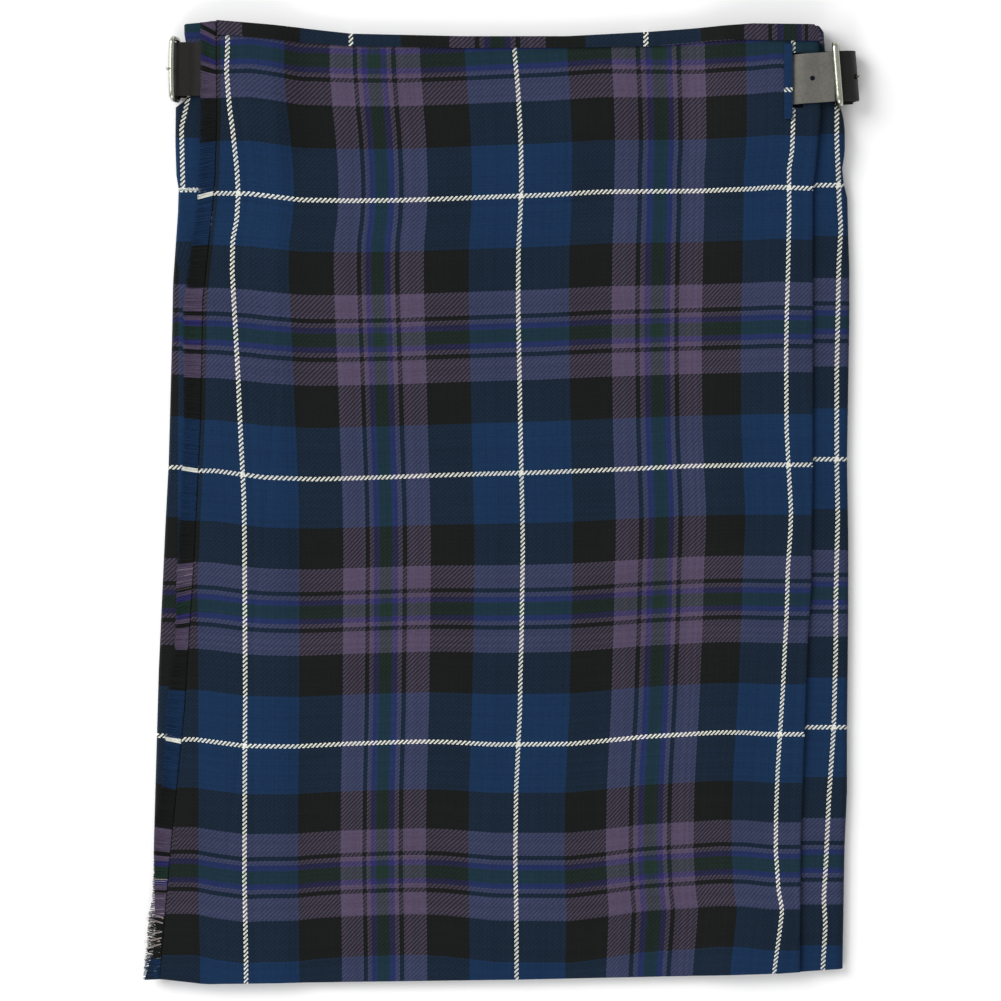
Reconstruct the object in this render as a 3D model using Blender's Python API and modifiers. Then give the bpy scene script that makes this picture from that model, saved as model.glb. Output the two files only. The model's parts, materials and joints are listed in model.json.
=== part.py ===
"""A Scottish kilt, buckled and laid flat on its pleated back.

Sizes are in millimetres and are turned into metres where a mesh is made.
X runs across the kilt (towards the wearer's left), Y up to the waist, Z off the table.
"""

import math

import bmesh
import bpy

MM = 0.001
# Moves every point so that the kilt's box is centred over the origin and stands on it
PLACE = (-0.35, 0.33, 0.016)

# Cloth, leather and wire
CLOTH = 1.2
GAP = 0.35
STEP = CLOTH + GAP
FRINGE_CLOTH = 0.9
BAND_CLOTH = 1.2
BAND_CORNER = 203.6
BAND_END = 206.0
LEATHER = 1.8
CHAPE_LEATHER = 1.4
WIRE_RADIUS = 1.6
PRONG_RADIUS = 0.9

# Lie of the kilt on the table
HEM_ROW = -306.0
WAIST_ROW = 306.0
BAND_ROW = 297.0
BAND_INSET = BAND_CLOTH + GAP
UNDER_INSET = 0.5
PLEAT_ROOM = 0.5
SIDE_RISE = 2 * STEP
STRAP_ROOM = LEATHER + 0.3
CORNER_LIFT = 4.5
BAND_LIFT = STEP

# Where the layers step up, across the kilt and up the kilt
SIDE_RAMP = (122.0, 147.0)
CORNER_RAMP = (110.0, 165.0)
CORNER_ROWS = (190.0, 246.0)
BAND_ROWS = (270.0, BAND_ROW)

# Middle height of each layer of cloth
PLEAT_Z = CLOTH / 2
UNDER_Z = PLEAT_Z + 3 * STEP + PLEAT_ROOM
OVER_Z = UNDER_Z + STEP

# Back pleats
PLEAT_COUNT = 22
PLEAT_DEPTH = 12.0
PLEAT_SLOPE = 3.2
SIDE_TURN = 12.0
LAST_FACE = 6.0

# The waist and the hem. Columns: place across, height up the kilt
WAIST_EDGE = (
    (-203.0, 305.9),
    (-181.4, 307.8),
    (-128.3, 303.4),
    (-95.7, 299.8),
    (-24.6, 298.2),
    (42.6, 298.2),
    (92.5, 300.8),
    (128.3, 303.4),
    (161.0, 305.6),
    (203.6, 305.1),
    (206.4, 300.8),
    (208.3, 296.0),
)
HEM_EDGE = (
    (-228.8, -305.9),
    (-217.3, -305.3),
    (-188.5, -308.5),
    (-128.3, -307.8),
    (11.8, -305.9),
    (127.7, -303.4),
    (178.2, -301.8),
    (220.5, -298.9),
)

# Edges that run down the kilt. Columns: height up the kilt, place across
RIGHT_HIP_EDGE = (
    (305.9, -202.6),
    (298.0, -202.4),
    (293.0, -201.2),
    (258.0, -201.2),
    (253.0, -208.0),
    (230.0, -208.3),
    (206.0, -207.7),
    (203.0, -206.4),
    (186.0, -206.9),
    (140.0, -210.1),
    (110.0, -210.6),
    (26.0, -212.8),
    (-8.0, -214.6),
    (-22.4, -215.3),
    (-108.2, -219.2),
    (-220.2, -222.4),
    (-305.9, -221.0),
)
LEFT_HIP_EDGE = (
    (303.0, 207.0),
    (283.0, 209.5),
    (270.0, 211.7),
    (264.5, 214.9),
    (260.7, 217.9),
    (254.5, 219.6),
    (246.3, 220.5),
    (232.0, 220.5),
    (221.5, 218.9),
    (212.5, 219.9),
    (202.0, 222.4),
    (177.0, 223.0),
    (156.0, 223.7),
    (121.4, 223.7),
    (29.2, 222.2),
    (-23.5, 223.0),
    (-71.0, 223.0),
    (-153.0, 222.2),
    (-189.4, 222.2),
    (-226.2, 220.6),
    (-298.9, 219.4),
)
APRON_FOLD_EDGE = (
    (306.0, 203.5),
    (250.0, 204.5),
    (213.0, 201.5),
    (200.0, 200.0),
    (20.0, 200.0),
    (-59.0, 199.0),
    (-90.0, 196.8),
    (-148.0, 194.9),
    (-220.0, 192.3),
    (-306.0, 191.7),
)
APRON_FREE_EDGE = (
    (306.0, -181.4),
    (244.5, -180.8),
    (197.0, -182.7),
    (155.0, -189.1),
    (110.0, -191.0),
    (46.0, -191.7),
    (-43.5, -196.2),
    (-94.7, -198.7),
    (-139.5, -202.6),
    (-184.3, -206.4),
    (-222.7, -210.9),
    (-267.5, -214.7),
    (-306.0, -217.9),
)
FRINGE_TIPS = (
    (306.0, -191.5),
    (250.0, -191.5),
    (197.0, -193.6),
    (123.0, -203.2),
    (46.0, -202.6),
    (-43.5, -207.0),
    (-94.7, -208.3),
    (-126.7, -213.4),
    (-178.0, -216.0),
    (-206.7, -221.1),
    (-254.7, -222.8),
    (-265.0, -225.2),
    (-285.0, -226.4),
    (-306.0, -228.8),
)

# Folds inside the kilt
INNER_FOLD = 150.0
UNDERLAY_SEAM = 156.0
UNDER_APRON_END = 165.0
RIGHT_HIP_TUCK = 1.0
# Places across where the flat stretches get a line of points of their own
MIDDLE_COLUMNS = (110.0, 60.0, 0.0, -60.0, -110.0)
REVERSE_PLEAT_COLUMN = -182.0
HIP_COLUMN = 188.0
UNDERLAY_COLUMN = 180.0

# The fringe
STRIP_WIDTH = 4.0
STRANDS = 150
STRAND_TIP = 0.5
LOOSE_BELOW = -275.0
DROOP = 3.5
# How unevenly the strands end and slant, and how fast that changes from one to the next
STRAY = ((0.7, 2.4), (0.5, 5.1))
SLANT = (0.6, 1.7)

# The slit for the strap, with the cloth strip beside it
SLIT = (184.0, 193.4)
SLIT_ROWS = (292.0, 250.0)
OVER_COLUMNS = (-165, -147, -122, -110, -60, 0, 60, 110, 122, 147, 165)
FOLD_COLUMNS = (178.0, *SLIT)
FOLD_CLEAR = 3.5
BINDING = (181.0, 186.4)
BINDING_ROWS = (294.5, 246.0)

# Straps: columns are place across and height off the table, along the middle of the leather
APRON_STRAP_WIDTH = 34.2
UNDER_STRAP_WIDTH = 31.8
TAIL_TIP = 14.0
TAIL_END_PART = 0.35
APRON_STRAP_Y = 276.5
APRON_STRAP_PATH = (
    (-165.0, 15.15),
    (-180.0, 15.15),
    (-194.5, 15.2),
    (-200.0, 16.7),
    (-205.0, 17.3),
    (-209.3, 15.4),
    (-211.1, 11.5),
    (-211.1, 6.5),
    (-209.6, 3.0),
    (-205.5, 1.25),
    (-198.0, 1.2),
    (-164.0, 1.2),
    (-150.0, 1.2),
)
UNDER_STRAP_Y = 270.9
UNDER_STRAP_SLOPE = 0.07
UNDER_STRAP_PATH = (
    (168.0, 15.2),
    (184.2, 15.2),
    (192.8, 18.95),
    (204.0, 18.9),
    (212.0, 19.4),
    (218.5, 18.9),
    (224.5, 16.2),
    (227.4, 11.5),
    (226.6, 6.2),
    (222.6, 2.5),
    (216.0, 1.2),
    (200.0, 1.2),
    (172.0, 1.2),
    (158.0, 1.2),
)
# The strap's middle line follows its slope from this point of its path
STRAP_PIVOT = 3
# Between these places across, the strap comes to lean as its buckle does
LEAN_PLACES = (206.0, 218.0)
SMOOTH_PARTS = 3

# Holes: place across and up, radius. Prong holes: place and direction in XZ, radius
PUNCHED_HOLE = (199.1, 270.4, 1.6)
APRON_PRONG_HOLE = ((-210.4, 13.6), (-0.6, 0.8), 1.7)
UNDER_PRONG_HOLE = ((226.0, 13.9), (0.77, 0.64), 1.7)
FLAT_PUNCH = 4.0
PRONG_PUNCH = 6.0

# Buckles: hinge bar and outer bar, each as place across and height off the table
BUCKLE_LENGTH = 42.2
BUCKLE_CORNER = 4.0
APRON_HINGE = (-206.1, 6.05)
APRON_BAR = (-209.4, 22.2)
UNDER_HINGE = (217.5, 6.05)
UNDER_BAR = (214.7, 22.8)
UNDER_BUCKLE_Y = 273.2
UNDER_BUCKLE_SKEW = -0.08
UNDER_PRONG_Y = 271.8
CHAPE_WIDTH = 31.4
CHAPE_Z = 3.4
CHAPE_LOOP = 2.5
CHAPE_SLOT = 2.0
CHAPE_LENGTH = 26.0
CHAPE_NECK = 4.5
CHAPE_TURN = (-90, 105)

# Prongs: the hook's angles round the hinge bar, and the stem as place across and height
PRONG_LOOP = WIRE_RADIUS + 0.25 + PRONG_RADIUS
PRONG_TURN = (290, 115)
PRONG_TAPER = (0.8, 0.45)
APRON_STEM = (
    (-207.6, 9.4),
    (-209.2, 12.0),
    (-211.5, 15.2),
    (-212.5, 18.6),
    (-212.6, 22.2),
    (-211.3, 24.9),
)
UNDER_STEM = ((219.2, 9.2), (221.6, 10.6), (226.2, 14.0), (229.7, 16.8))

# Rows of points up the cloth, and up the pleats
ROWS = (
    306, 297, 292, 281, 270, 258, 253, 250, 246, 228, 210, 190, 130, 50, -40, -130, -220, -306,
)
PLEAT_ROWS = (306, 297, 270, 246, 190, 20, -140, -306)

COLOURS = {
    "tartan": ((0.020, 0.045, 0.115), 0.85, 0.0),
    "tartan band": ((0.040, 0.036, 0.075), 0.85, 0.0),
    "fringe": ((0.090, 0.060, 0.150), 0.90, 0.0),
    "binding": ((0.012, 0.045, 0.110), 0.85, 0.0),
    "black leather": ((0.020, 0.020, 0.019), 0.55, 0.0),
    "worn leather": ((0.140, 0.138, 0.132), 0.60, 0.0),
    "chrome": ((0.720, 0.720, 0.700), 0.12, 1.0),
}


def clear_scene():
    for thing in list(bpy.data.objects):
        bpy.data.objects.remove(thing, do_unlink=True)


def collection(name):
    made = bpy.data.collections.new(name)
    bpy.context.scene.collection.children.link(made)
    return made


def material(name):
    found = bpy.data.materials.get(name)
    if found:
        return found
    colour, roughness, metallic = COLOURS[name]
    made = bpy.data.materials.new(name)
    made.use_nodes = True
    shader = made.node_tree.nodes["Principled BSDF"]
    shader.inputs["Base Color"].default_value = (*colour, 1.0)
    shader.inputs["Roughness"].default_value = roughness
    shader.inputs["Metallic"].default_value = metallic
    made.diffuse_color = (*colour, 1.0)
    return made


def at(point):
    """A point of the kilt in millimetres, placed and turned into metres."""
    return [(c + move) * MM for c, move in zip(point, PLACE)]


def ramp(limits, value):
    """0 below the first limit, 1 above the second, straight between."""
    low, high = limits
    return min(1.0, max(0.0, (value - low) / (high - low)))


def read(table, at):
    """The second column of a table where its first column is `at`, straight between rows."""
    rows = sorted(table)
    if at <= rows[0][0]:
        return rows[0][1]
    for (a, value_a), (b, value_b) in zip(rows, rows[1:]):
        if at <= b:
            return value_a + (value_b - value_a) * (at - a) / (b - a)
    return rows[-1][1]


def straight_between(table, rows, row):
    """A table's value, straight between the rows of a length of cloth, for what lies along it."""
    return read([(r, read(table, r)) for r in rows], row)


def free_edge(row):
    return straight_between(APRON_FREE_EDGE, ROWS, row)


def pleats_span(row):
    """Where the back's seams lie: the ends of the pleats, and of what folds round to meet them."""
    left = straight_between(RIGHT_HIP_EDGE, PLEAT_ROWS, row) + SIDE_TURN
    right = straight_between(LEFT_HIP_EDGE, PLEAT_ROWS, row) - SIDE_TURN
    return left, right


def height_up(x, row, waist_inset=0.0):
    """Real height up the kilt of a row, between the curved hem and the dipping waist."""
    part = (row - HEM_ROW) / (WAIST_ROW - HEM_ROW)
    return read(HEM_EDGE, x) * (1 - part) + (read(WAIST_EDGE, x) - waist_inset) * part


def lift(x, row):
    """How far the whole stack is raised: by the leather at the corners, by the band between."""
    corner = ramp(CORNER_RAMP, abs(x)) * ramp(CORNER_ROWS, row)
    band = ramp(BAND_ROWS, row)
    return CORNER_LIFT * corner + BAND_LIFT * band * (1 - corner)


def strap_room(x, row):
    return STRAP_ROOM * ramp(SIDE_RAMP, abs(x)) * ramp(CORNER_ROWS, row)


def over_z(x, row):
    return OVER_Z + SIDE_RISE * ramp(SIDE_RAMP, abs(x)) + lift(x, row) + strap_room(x, row)


def link(name, mesh, group, finish):
    thing = bpy.data.objects.new(name, mesh)
    group.objects.link(thing)
    mesh.materials.append(material(finish))
    return thing


def sheet(name, group, finish, grid, thickness, skip=()):
    """An open surface through a grid of points, rows by columns, with a wall made by Solidify."""
    shape = bmesh.new()
    points = [[shape.verts.new(at(point)) for point in row] for row in grid]
    for r in range(len(points) - 1):
        for c in range(len(points[0]) - 1):
            if (r, c) in skip:
                continue
            corners = points[r][c], points[r + 1][c], points[r + 1][c + 1], points[r][c + 1]
            shape.faces.new(corners)
    mesh = bpy.data.meshes.new(name)
    shape.to_mesh(mesh)
    shape.free()
    thing = link(name, mesh, group, finish)
    wall = thing.modifiers.new("wall", "SOLIDIFY")
    wall.thickness = thickness * MM
    wall.offset = 0.0
    wall.use_even_offset = True
    return thing


def panel(name, group, rows, section, waist_inset):
    """A length of tartan: `section` gives the folded line across the kilt for one row."""
    grid = []
    for row in rows:
        line = [(x, height_up(x, row, waist_inset), z) for x, z in section(row)]
        grid.append(line)
    return sheet(name, group, "tartan", grid, CLOTH)


def turn(centre_x, centre_z, radius, start, end, parts):
    """Points round a fold, from one angle to another, in degrees from +X."""
    made = []
    for i in range(parts + 1):
        angle = math.radians(start + (end - start) * i / parts)
        made.append((centre_x + radius * math.cos(angle), centre_z + radius * math.sin(angle)))
    return made


def pleat_section(row):
    """Knife pleats: a face on the table, back over itself, forward again and down to the next."""
    left, right = pleats_span(row)
    pitch = (right - left - LAST_FACE) / PLEAT_COUNT
    radius = STEP / 2
    low = PLEAT_Z
    line = [(left, low)]
    for i in range(PLEAT_COUNT):
        edge = left + (i + 1) * pitch
        centre = edge - CLOTH / 2 - radius
        line += [(centre, low), (centre + radius, low + radius), (centre, low + STEP)]
        line += [(edge - PLEAT_DEPTH, low + STEP), (edge - PLEAT_DEPTH, low + 2 * STEP)]
        line += [(edge - 0.2, low + 2 * STEP), (edge + PLEAT_SLOPE, low)]
    line.append((right, low))
    return [(x, z + lift(x, row)) for x, z in line]


def under_section(row):
    """Under apron: free edge, across the front, reverse pleat, round the right hip to the back."""
    side = read(RIGHT_HIP_EDGE, row) + CLOTH / 2
    tuck = side + RIGHT_HIP_TUCK
    radius = STEP / 2
    top = UNDER_Z + SIDE_RISE
    hip = (UNDER_Z - PLEAT_Z) / 2
    corner = -CORNER_RAMP[1]
    flat = (UNDER_APRON_END, SIDE_RAMP[1], SIDE_RAMP[0], *MIDDLE_COLUMNS)
    line = [(x, UNDER_Z) for x in flat]
    line += [(-SIDE_RAMP[0], UNDER_Z), (-SIDE_RAMP[1], top)]
    line += [(corner, top), (REVERSE_PLEAT_COLUMN, top)]
    line += turn(tuck + radius, top - radius, radius, 90, 270, 3)
    line += [(corner, top - STEP)]
    line += turn(-INNER_FOLD, UNDER_Z + radius, radius, 90, -90, 2)
    line += [(corner, UNDER_Z), (REVERSE_PLEAT_COLUMN, UNDER_Z)]
    line += turn(side + hip, PLEAT_Z + hip, hip, 90, 270, 4)
    line.append((pleats_span(row)[0] - GAP, PLEAT_Z))
    return [(x, z + lift(x, row)) for x, z in line]


def hip_section(row):
    """Left hip: from the last pleat round the side, in under the apron to the deep pleat's fold."""
    side = read(LEFT_HIP_EDGE, row) - CLOTH / 2
    top = UNDER_Z + STEP
    hip = (top - PLEAT_Z) / 2
    radius = STEP / 2
    line = [(pleats_span(row)[1] + GAP, PLEAT_Z)]
    line += turn(side - hip, PLEAT_Z + hip, hip, -90, 90, 5)
    line += [(HIP_COLUMN, top), (CORNER_RAMP[1], top)]
    line += turn(INNER_FOLD, top + radius, radius, 270, 90, 2)
    line.append((UNDERLAY_SEAM, top + STEP))
    return [(x, z + lift(x, row)) for x, z in line]


def over_section(row):
    """Over apron: free edge, across the front, round its fold edge, back as the deep pleat."""
    fold = read(APRON_FOLD_EDGE, row) - CLOTH / 2
    moved = min(0.0, fold - FOLD_CLEAR - FOLD_COLUMNS[-1])
    xs = [read(APRON_FREE_EDGE, row), *OVER_COLUMNS, *(x + moved for x in FOLD_COLUMNS)]
    line = [(x, over_z(x, row)) for x in xs]
    top = over_z(fold, row)
    low = UNDER_Z + SIDE_RISE + lift(fold, row)
    radius = (top - low) / 2
    line += turn(fold - radius, low + radius, radius, 90, -90, 4)
    underlay = (UNDERLAY_COLUMN, CORNER_RAMP[1], UNDERLAY_SEAM + GAP)
    line += [(x, UNDER_Z + SIDE_RISE + lift(x, row)) for x in underlay]
    return line


def build_over_apron(group):
    grid = []
    for row in ROWS:
        inset = BAND_INSET
        grid.append([(x, height_up(x, row, inset), z) for x, z in over_section(row)])
    slit_column = 1 + len(OVER_COLUMNS) + FOLD_COLUMNS.index(SLIT[0])
    first, last = (ROWS.index(row) for row in SLIT_ROWS)
    holes = {(row, slit_column) for row in range(first, last)}
    return sheet("over_apron", group, "tartan", grid, CLOTH, holes)


def build_band(group):
    """The band on the apron, with a lip down over the cloth's cut edge."""
    xs = [read(APRON_FREE_EDGE, WAIST_ROW), *OVER_COLUMNS, *FOLD_COLUMNS, BAND_CORNER, BAND_END]
    grid = [[], [], []]
    for x in xs:
        for line, row in zip(grid, (BAND_ROW, WAIST_ROW)):
            inset = BAND_CLOTH / 2 if row == WAIST_ROW else BAND_INSET
            line.append((x, height_up(x, row, inset), over_z(x, row) + STEP))
        lip = over_z(x, WAIST_ROW) - CLOTH / 2
        grid[2].append((x, height_up(x, WAIST_ROW, BAND_CLOTH / 2), lip))
    return sheet("over_apron_band", group, "tartan band", grid, BAND_CLOTH)


def build_back_band(group):
    """The band under the pleats' top, with a lip up over their edges."""
    left, right = pleats_span(WAIST_ROW)
    kinks = {x for x, _ in WAIST_EDGE} | {side * x for x in CORNER_RAMP for side in (-1, 1)}
    xs = [left, *sorted(x for x in kinks if left < x < right), right]
    grid = [[], [], []]
    for x in xs:
        for line, row in zip(grid, (BAND_ROW, WAIST_ROW)):
            inset = BAND_CLOTH / 2 if row == WAIST_ROW else BAND_INSET
            line.append((x, height_up(x, row, inset), PLEAT_Z + lift(x, row) - STEP))
        lip = PLEAT_Z + lift(x, WAIST_ROW) - STEP + 3 * STEP + CLOTH / 2
        grid[2].append((x, height_up(x, WAIST_ROW, BAND_CLOTH / 2), lip))
    return sheet("back_band", group, "tartan band", grid, BAND_CLOTH)


def build_fringe(group):
    """A narrow strip along the apron's free edge with its strands standing out of it."""
    shape = bmesh.new()
    cell = (WAIST_ROW - HEM_ROW) / (2 * STRANDS + 1)

    def point(x, row, drop=0.0):
        across = min(x, -CORNER_RAMP[1])
        spot = (x, height_up(x, row, UNDER_INSET), over_z(across, row) - drop)
        return shape.verts.new(at(spot))

    rows = [WAIST_ROW - cell * i for i in range(2 * STRANDS + 2)]
    inner = [point(free_edge(row) - GAP, row) for row in rows]
    outer = [point(free_edge(row) - GAP - STRIP_WIDTH, row) for row in rows]
    for i in range(len(rows) - 1):
        shape.faces.new((inner[i], inner[i + 1], outer[i + 1], outer[i]))
        if i % 2 == 0:
            continue
        middle = (rows[i] + rows[i + 1]) / 2
        strand = i // 2
        stray = sum(size * math.sin(strand * pace) for size, pace in STRAY)
        slant = SLANT[0] * math.sin(strand * SLANT[1])
        tip_x = read(FRINGE_TIPS, middle) + stray
        loose = ramp((LOOSE_BELOW, HEM_ROW), middle)
        tip_row = middle + slant
        drop = DROOP * loose
        half = STRAND_TIP / 2
        a = point(tip_x, tip_row + half, drop)
        b = point(tip_x, tip_row - half, drop)
        shape.faces.new((outer[i], outer[i + 1], b, a))
    mesh = bpy.data.meshes.new("apron_fringe")
    shape.to_mesh(mesh)
    shape.free()
    thing = link("apron_fringe", mesh, group, "fringe")
    wall = thing.modifiers.new("wall", "SOLIDIFY")
    wall.thickness = FRINGE_CLOTH * MM
    wall.offset = 0.0
    return thing


def build_binding(group):
    grid = []
    for row in (BINDING_ROWS[0], 281.0, 265.0, BINDING_ROWS[1]):
        line = [(x, height_up(x, row, BAND_INSET), over_z(x, row) + STEP) for x in BINDING]
        grid.append(line)
    return sheet("slit_binding", group, "binding", grid, CLOTH)


def smooth_path(points, parts=SMOOTH_PARTS):
    """A smooth line through the given points, by Catmull and Rom's rule."""
    ends = [points[0], *points, points[-1]]
    made = []
    for a, b, c, d in zip(ends, ends[1:], ends[2:], ends[3:]):
        for i in range(parts):
            t = i / parts
            made.append(
                tuple(
                    0.5
                    * (
                        2 * q
                        + (r - p) * t
                        + (2 * p - 5 * q + 4 * r - s) * t * t
                        + (3 * q - p - 3 * r + s) * t**3
                    )
                    for p, q, r, s in zip(a, b, c, d)
                )
            )
    made.append(points[-1])
    return made


def cutter(name, group, place, direction, radius, length):
    """A round punch, centred on a place, along a direction in the XZ plane."""
    bpy.ops.mesh.primitive_cylinder_add(vertices=12, radius=radius * MM, depth=length * MM)
    punch = bpy.context.object
    punch.name = name
    punch.location = at(place)
    punch.rotation_euler = (0.0, math.atan2(direction[0], direction[1]), 0.0)
    for home in list(punch.users_collection):
        home.objects.unlink(punch)
    group.objects.link(punch)
    punch.hide_render = True
    punch.display_type = "WIRE"
    return punch


def build_strap(name, group, finish, path, middle, width, slope=0.0, skew=0.0):
    """A leather strap laid along its path, with a tapered tail."""
    line = smooth_path(path)
    pivot = path[STRAP_PIVOT][0]
    tail = path[-1][0]
    grid = []
    for x, z in line:
        near = abs(x - tail) if z < 2 * LEATHER else TAIL_TIP
        part = math.sqrt(ramp((0.0, TAIL_TIP), near))
        half = width / 2 * (TAIL_END_PART + (1 - TAIL_END_PART) * part)
        y = middle + slope * (x - pivot if z > 2 * LEATHER else 0.0)
        lean = skew * half * ramp(LEAN_PLACES, x)
        grid.append([(x - lean, y - half, z), (x + lean, y + half, z)])
    return sheet(name, group, finish, grid, LEATHER)


def punch_through(strap, punch):
    cut = strap.modifiers.new("punched hole", "BOOLEAN")
    cut.operation = "DIFFERENCE"
    cut.solver = "EXACT"
    cut.object = punch


def wire(name, group, points, radius, cyclic=False, widths=None):
    curve = bpy.data.curves.new(name, "CURVE")
    curve.dimensions = "3D"
    spline = curve.splines.new("POLY")
    spline.points.add(len(points) - 1)
    for i, (knot, point) in enumerate(zip(spline.points, points)):
        knot.co = (*at(point), 1.0)
        knot.radius = widths[i] if widths else 1.0
    spline.use_cyclic_u = cyclic
    curve.bevel_depth = radius * MM
    curve.bevel_resolution = 2
    curve.use_fill_caps = not cyclic
    thing = bpy.data.objects.new(name, curve)
    group.objects.link(thing)
    curve.materials.append(material("chrome"))
    return thing


def build_buckle(name, group, hinge, bar, middle, skew=0.0):
    """A rounded rectangle of wire from its hinge bar up to its outer bar."""
    half = BUCKLE_LENGTH / 2 - WIRE_RADIUS
    rise = math.dist(hinge, bar)
    points = []
    corners = (
        (half - BUCKLE_CORNER, BUCKLE_CORNER, -90),
        (half - BUCKLE_CORNER, rise - BUCKLE_CORNER, 0),
        (-half + BUCKLE_CORNER, rise - BUCKLE_CORNER, 90),
        (-half + BUCKLE_CORNER, BUCKLE_CORNER, 180),
    )
    for along, up, start in corners:
        for along_point, up_point in turn(along, up, BUCKLE_CORNER, start, start + 90, 4):
            part = up_point / rise
            x = hinge[0] + (bar[0] - hinge[0]) * part + skew * along_point
            z = hinge[1] + (bar[1] - hinge[1]) * part
            points.append((x, middle + along_point, z))
    return wire(name, group, points, WIRE_RADIUS, cyclic=True)


def build_chape(name, group, finish, hinge, outward, middle, skew=0.0, slot_middle=0.0):
    """A leather loop round the hinge bar, with a slot for the prong, flat under the back."""
    x, z = hinge
    start = x - outward * CHAPE_LENGTH
    neck = x - outward * CHAPE_NECK
    flat = [(start, CHAPE_Z), ((start + neck) / 2, CHAPE_Z), (neck, CHAPE_Z)]
    round_bar = turn(0.0, z, CHAPE_LOOP, *CHAPE_TURN, 6)
    line = flat + [(x + outward * px, pz) for px, pz in round_bar]
    half = CHAPE_WIDTH / 2
    ys = (-half, slot_middle - CHAPE_SLOT, slot_middle + CHAPE_SLOT, half)
    grid = [[(px + skew * y, middle + y, pz) for y in ys] for px, pz in line]
    slot = {(row, 1) for row in range(1, len(line) - 1)}
    return sheet(name, group, finish, grid, CHAPE_LEATHER, slot)


def build_prong(name, group, hinge, outward, middle, stem):
    """A tongue: a hook round the hinge bar, then its stem through the strap."""
    x, z = hinge
    hook = [(x + outward * px, pz) for px, pz in turn(0.0, z, PRONG_LOOP, *PRONG_TURN, 7)]
    line = hook + smooth_path(stem, 2)
    points = [(px, middle, pz) for px, pz in line]
    widths = [1.0] * (len(line) - len(PRONG_TAPER)) + list(PRONG_TAPER)
    return wire(name, group, points, PRONG_RADIUS, widths=widths)


def main():
    clear_scene()
    kilt = collection("scottish kilt")
    punches = collection("punches")
    panel("back_pleats", kilt, PLEAT_ROWS, pleat_section, BAND_INSET)
    panel("under_apron", kilt, ROWS, under_section, UNDER_INSET)
    panel("left_hip_panel", kilt, ROWS, hip_section, UNDER_INSET)
    build_over_apron(kilt)
    build_band(kilt)
    build_back_band(kilt)
    build_fringe(kilt)
    build_binding(kilt)
    apron_strap = build_strap(
        "apron_strap", kilt, "black leather", APRON_STRAP_PATH, APRON_STRAP_Y, APRON_STRAP_WIDTH
    )
    under_strap = build_strap(
        "under_strap",
        kilt,
        "worn leather",
        UNDER_STRAP_PATH,
        UNDER_STRAP_Y,
        UNDER_STRAP_WIDTH,
        UNDER_STRAP_SLOPE,
        UNDER_BUCKLE_SKEW,
    )
    x, y, radius = PUNCHED_HOLE
    place = (x, y, UNDER_STRAP_PATH[STRAP_PIVOT][1])
    punch = cutter("size hole", punches, place, (0, 1), radius, FLAT_PUNCH)
    punch_through(under_strap, punch)
    holes = (
        ("apron prong hole", apron_strap, APRON_PRONG_HOLE, APRON_STRAP_Y),
        ("under prong hole", under_strap, UNDER_PRONG_HOLE, UNDER_PRONG_Y),
    )
    for name, strap, ((x, z), direction, radius), y in holes:
        punch = cutter(name, punches, (x, y, z), direction, radius, PRONG_PUNCH)
        punch_through(strap, punch)
    build_buckle("apron_buckle", kilt, APRON_HINGE, APRON_BAR, APRON_STRAP_Y)
    build_buckle(
        "under_buckle", kilt, UNDER_HINGE, UNDER_BAR, UNDER_BUCKLE_Y, UNDER_BUCKLE_SKEW
    )
    build_chape("apron_chape", kilt, "black leather", APRON_HINGE, -1, APRON_STRAP_Y)
    off_middle = UNDER_PRONG_Y - UNDER_BUCKLE_Y
    build_chape(
        "under_chape",
        kilt,
        "black leather",
        UNDER_HINGE,
        1,
        UNDER_BUCKLE_Y,
        UNDER_BUCKLE_SKEW,
        off_middle,
    )
    build_prong("apron_prong", kilt, APRON_HINGE, -1, APRON_STRAP_Y, APRON_STEM)
    prong_hinge = (UNDER_HINGE[0] + UNDER_BUCKLE_SKEW * off_middle, UNDER_HINGE[1])
    build_prong("under_prong", kilt, prong_hinge, 1, UNDER_PRONG_Y, UNDER_STEM)


main()
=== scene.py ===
# %% [markdown]
# # A Scottish kilt, buckled and laid flat
#
# A man's kilt lies on its pleated back, seen from straight above. The waist is at the top of the
# picture, the fringed free edge of the over apron at the left, and two leather straps close it at
# the hips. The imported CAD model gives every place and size. This script dresses it: woven tartan
# with real yarns, soft creases, a fringe of loose weft ends, grained leather and polished wire.
# All sizes here are in millimetres and are turned into metres where a mesh is made.

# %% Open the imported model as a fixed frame
import json
import math

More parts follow.
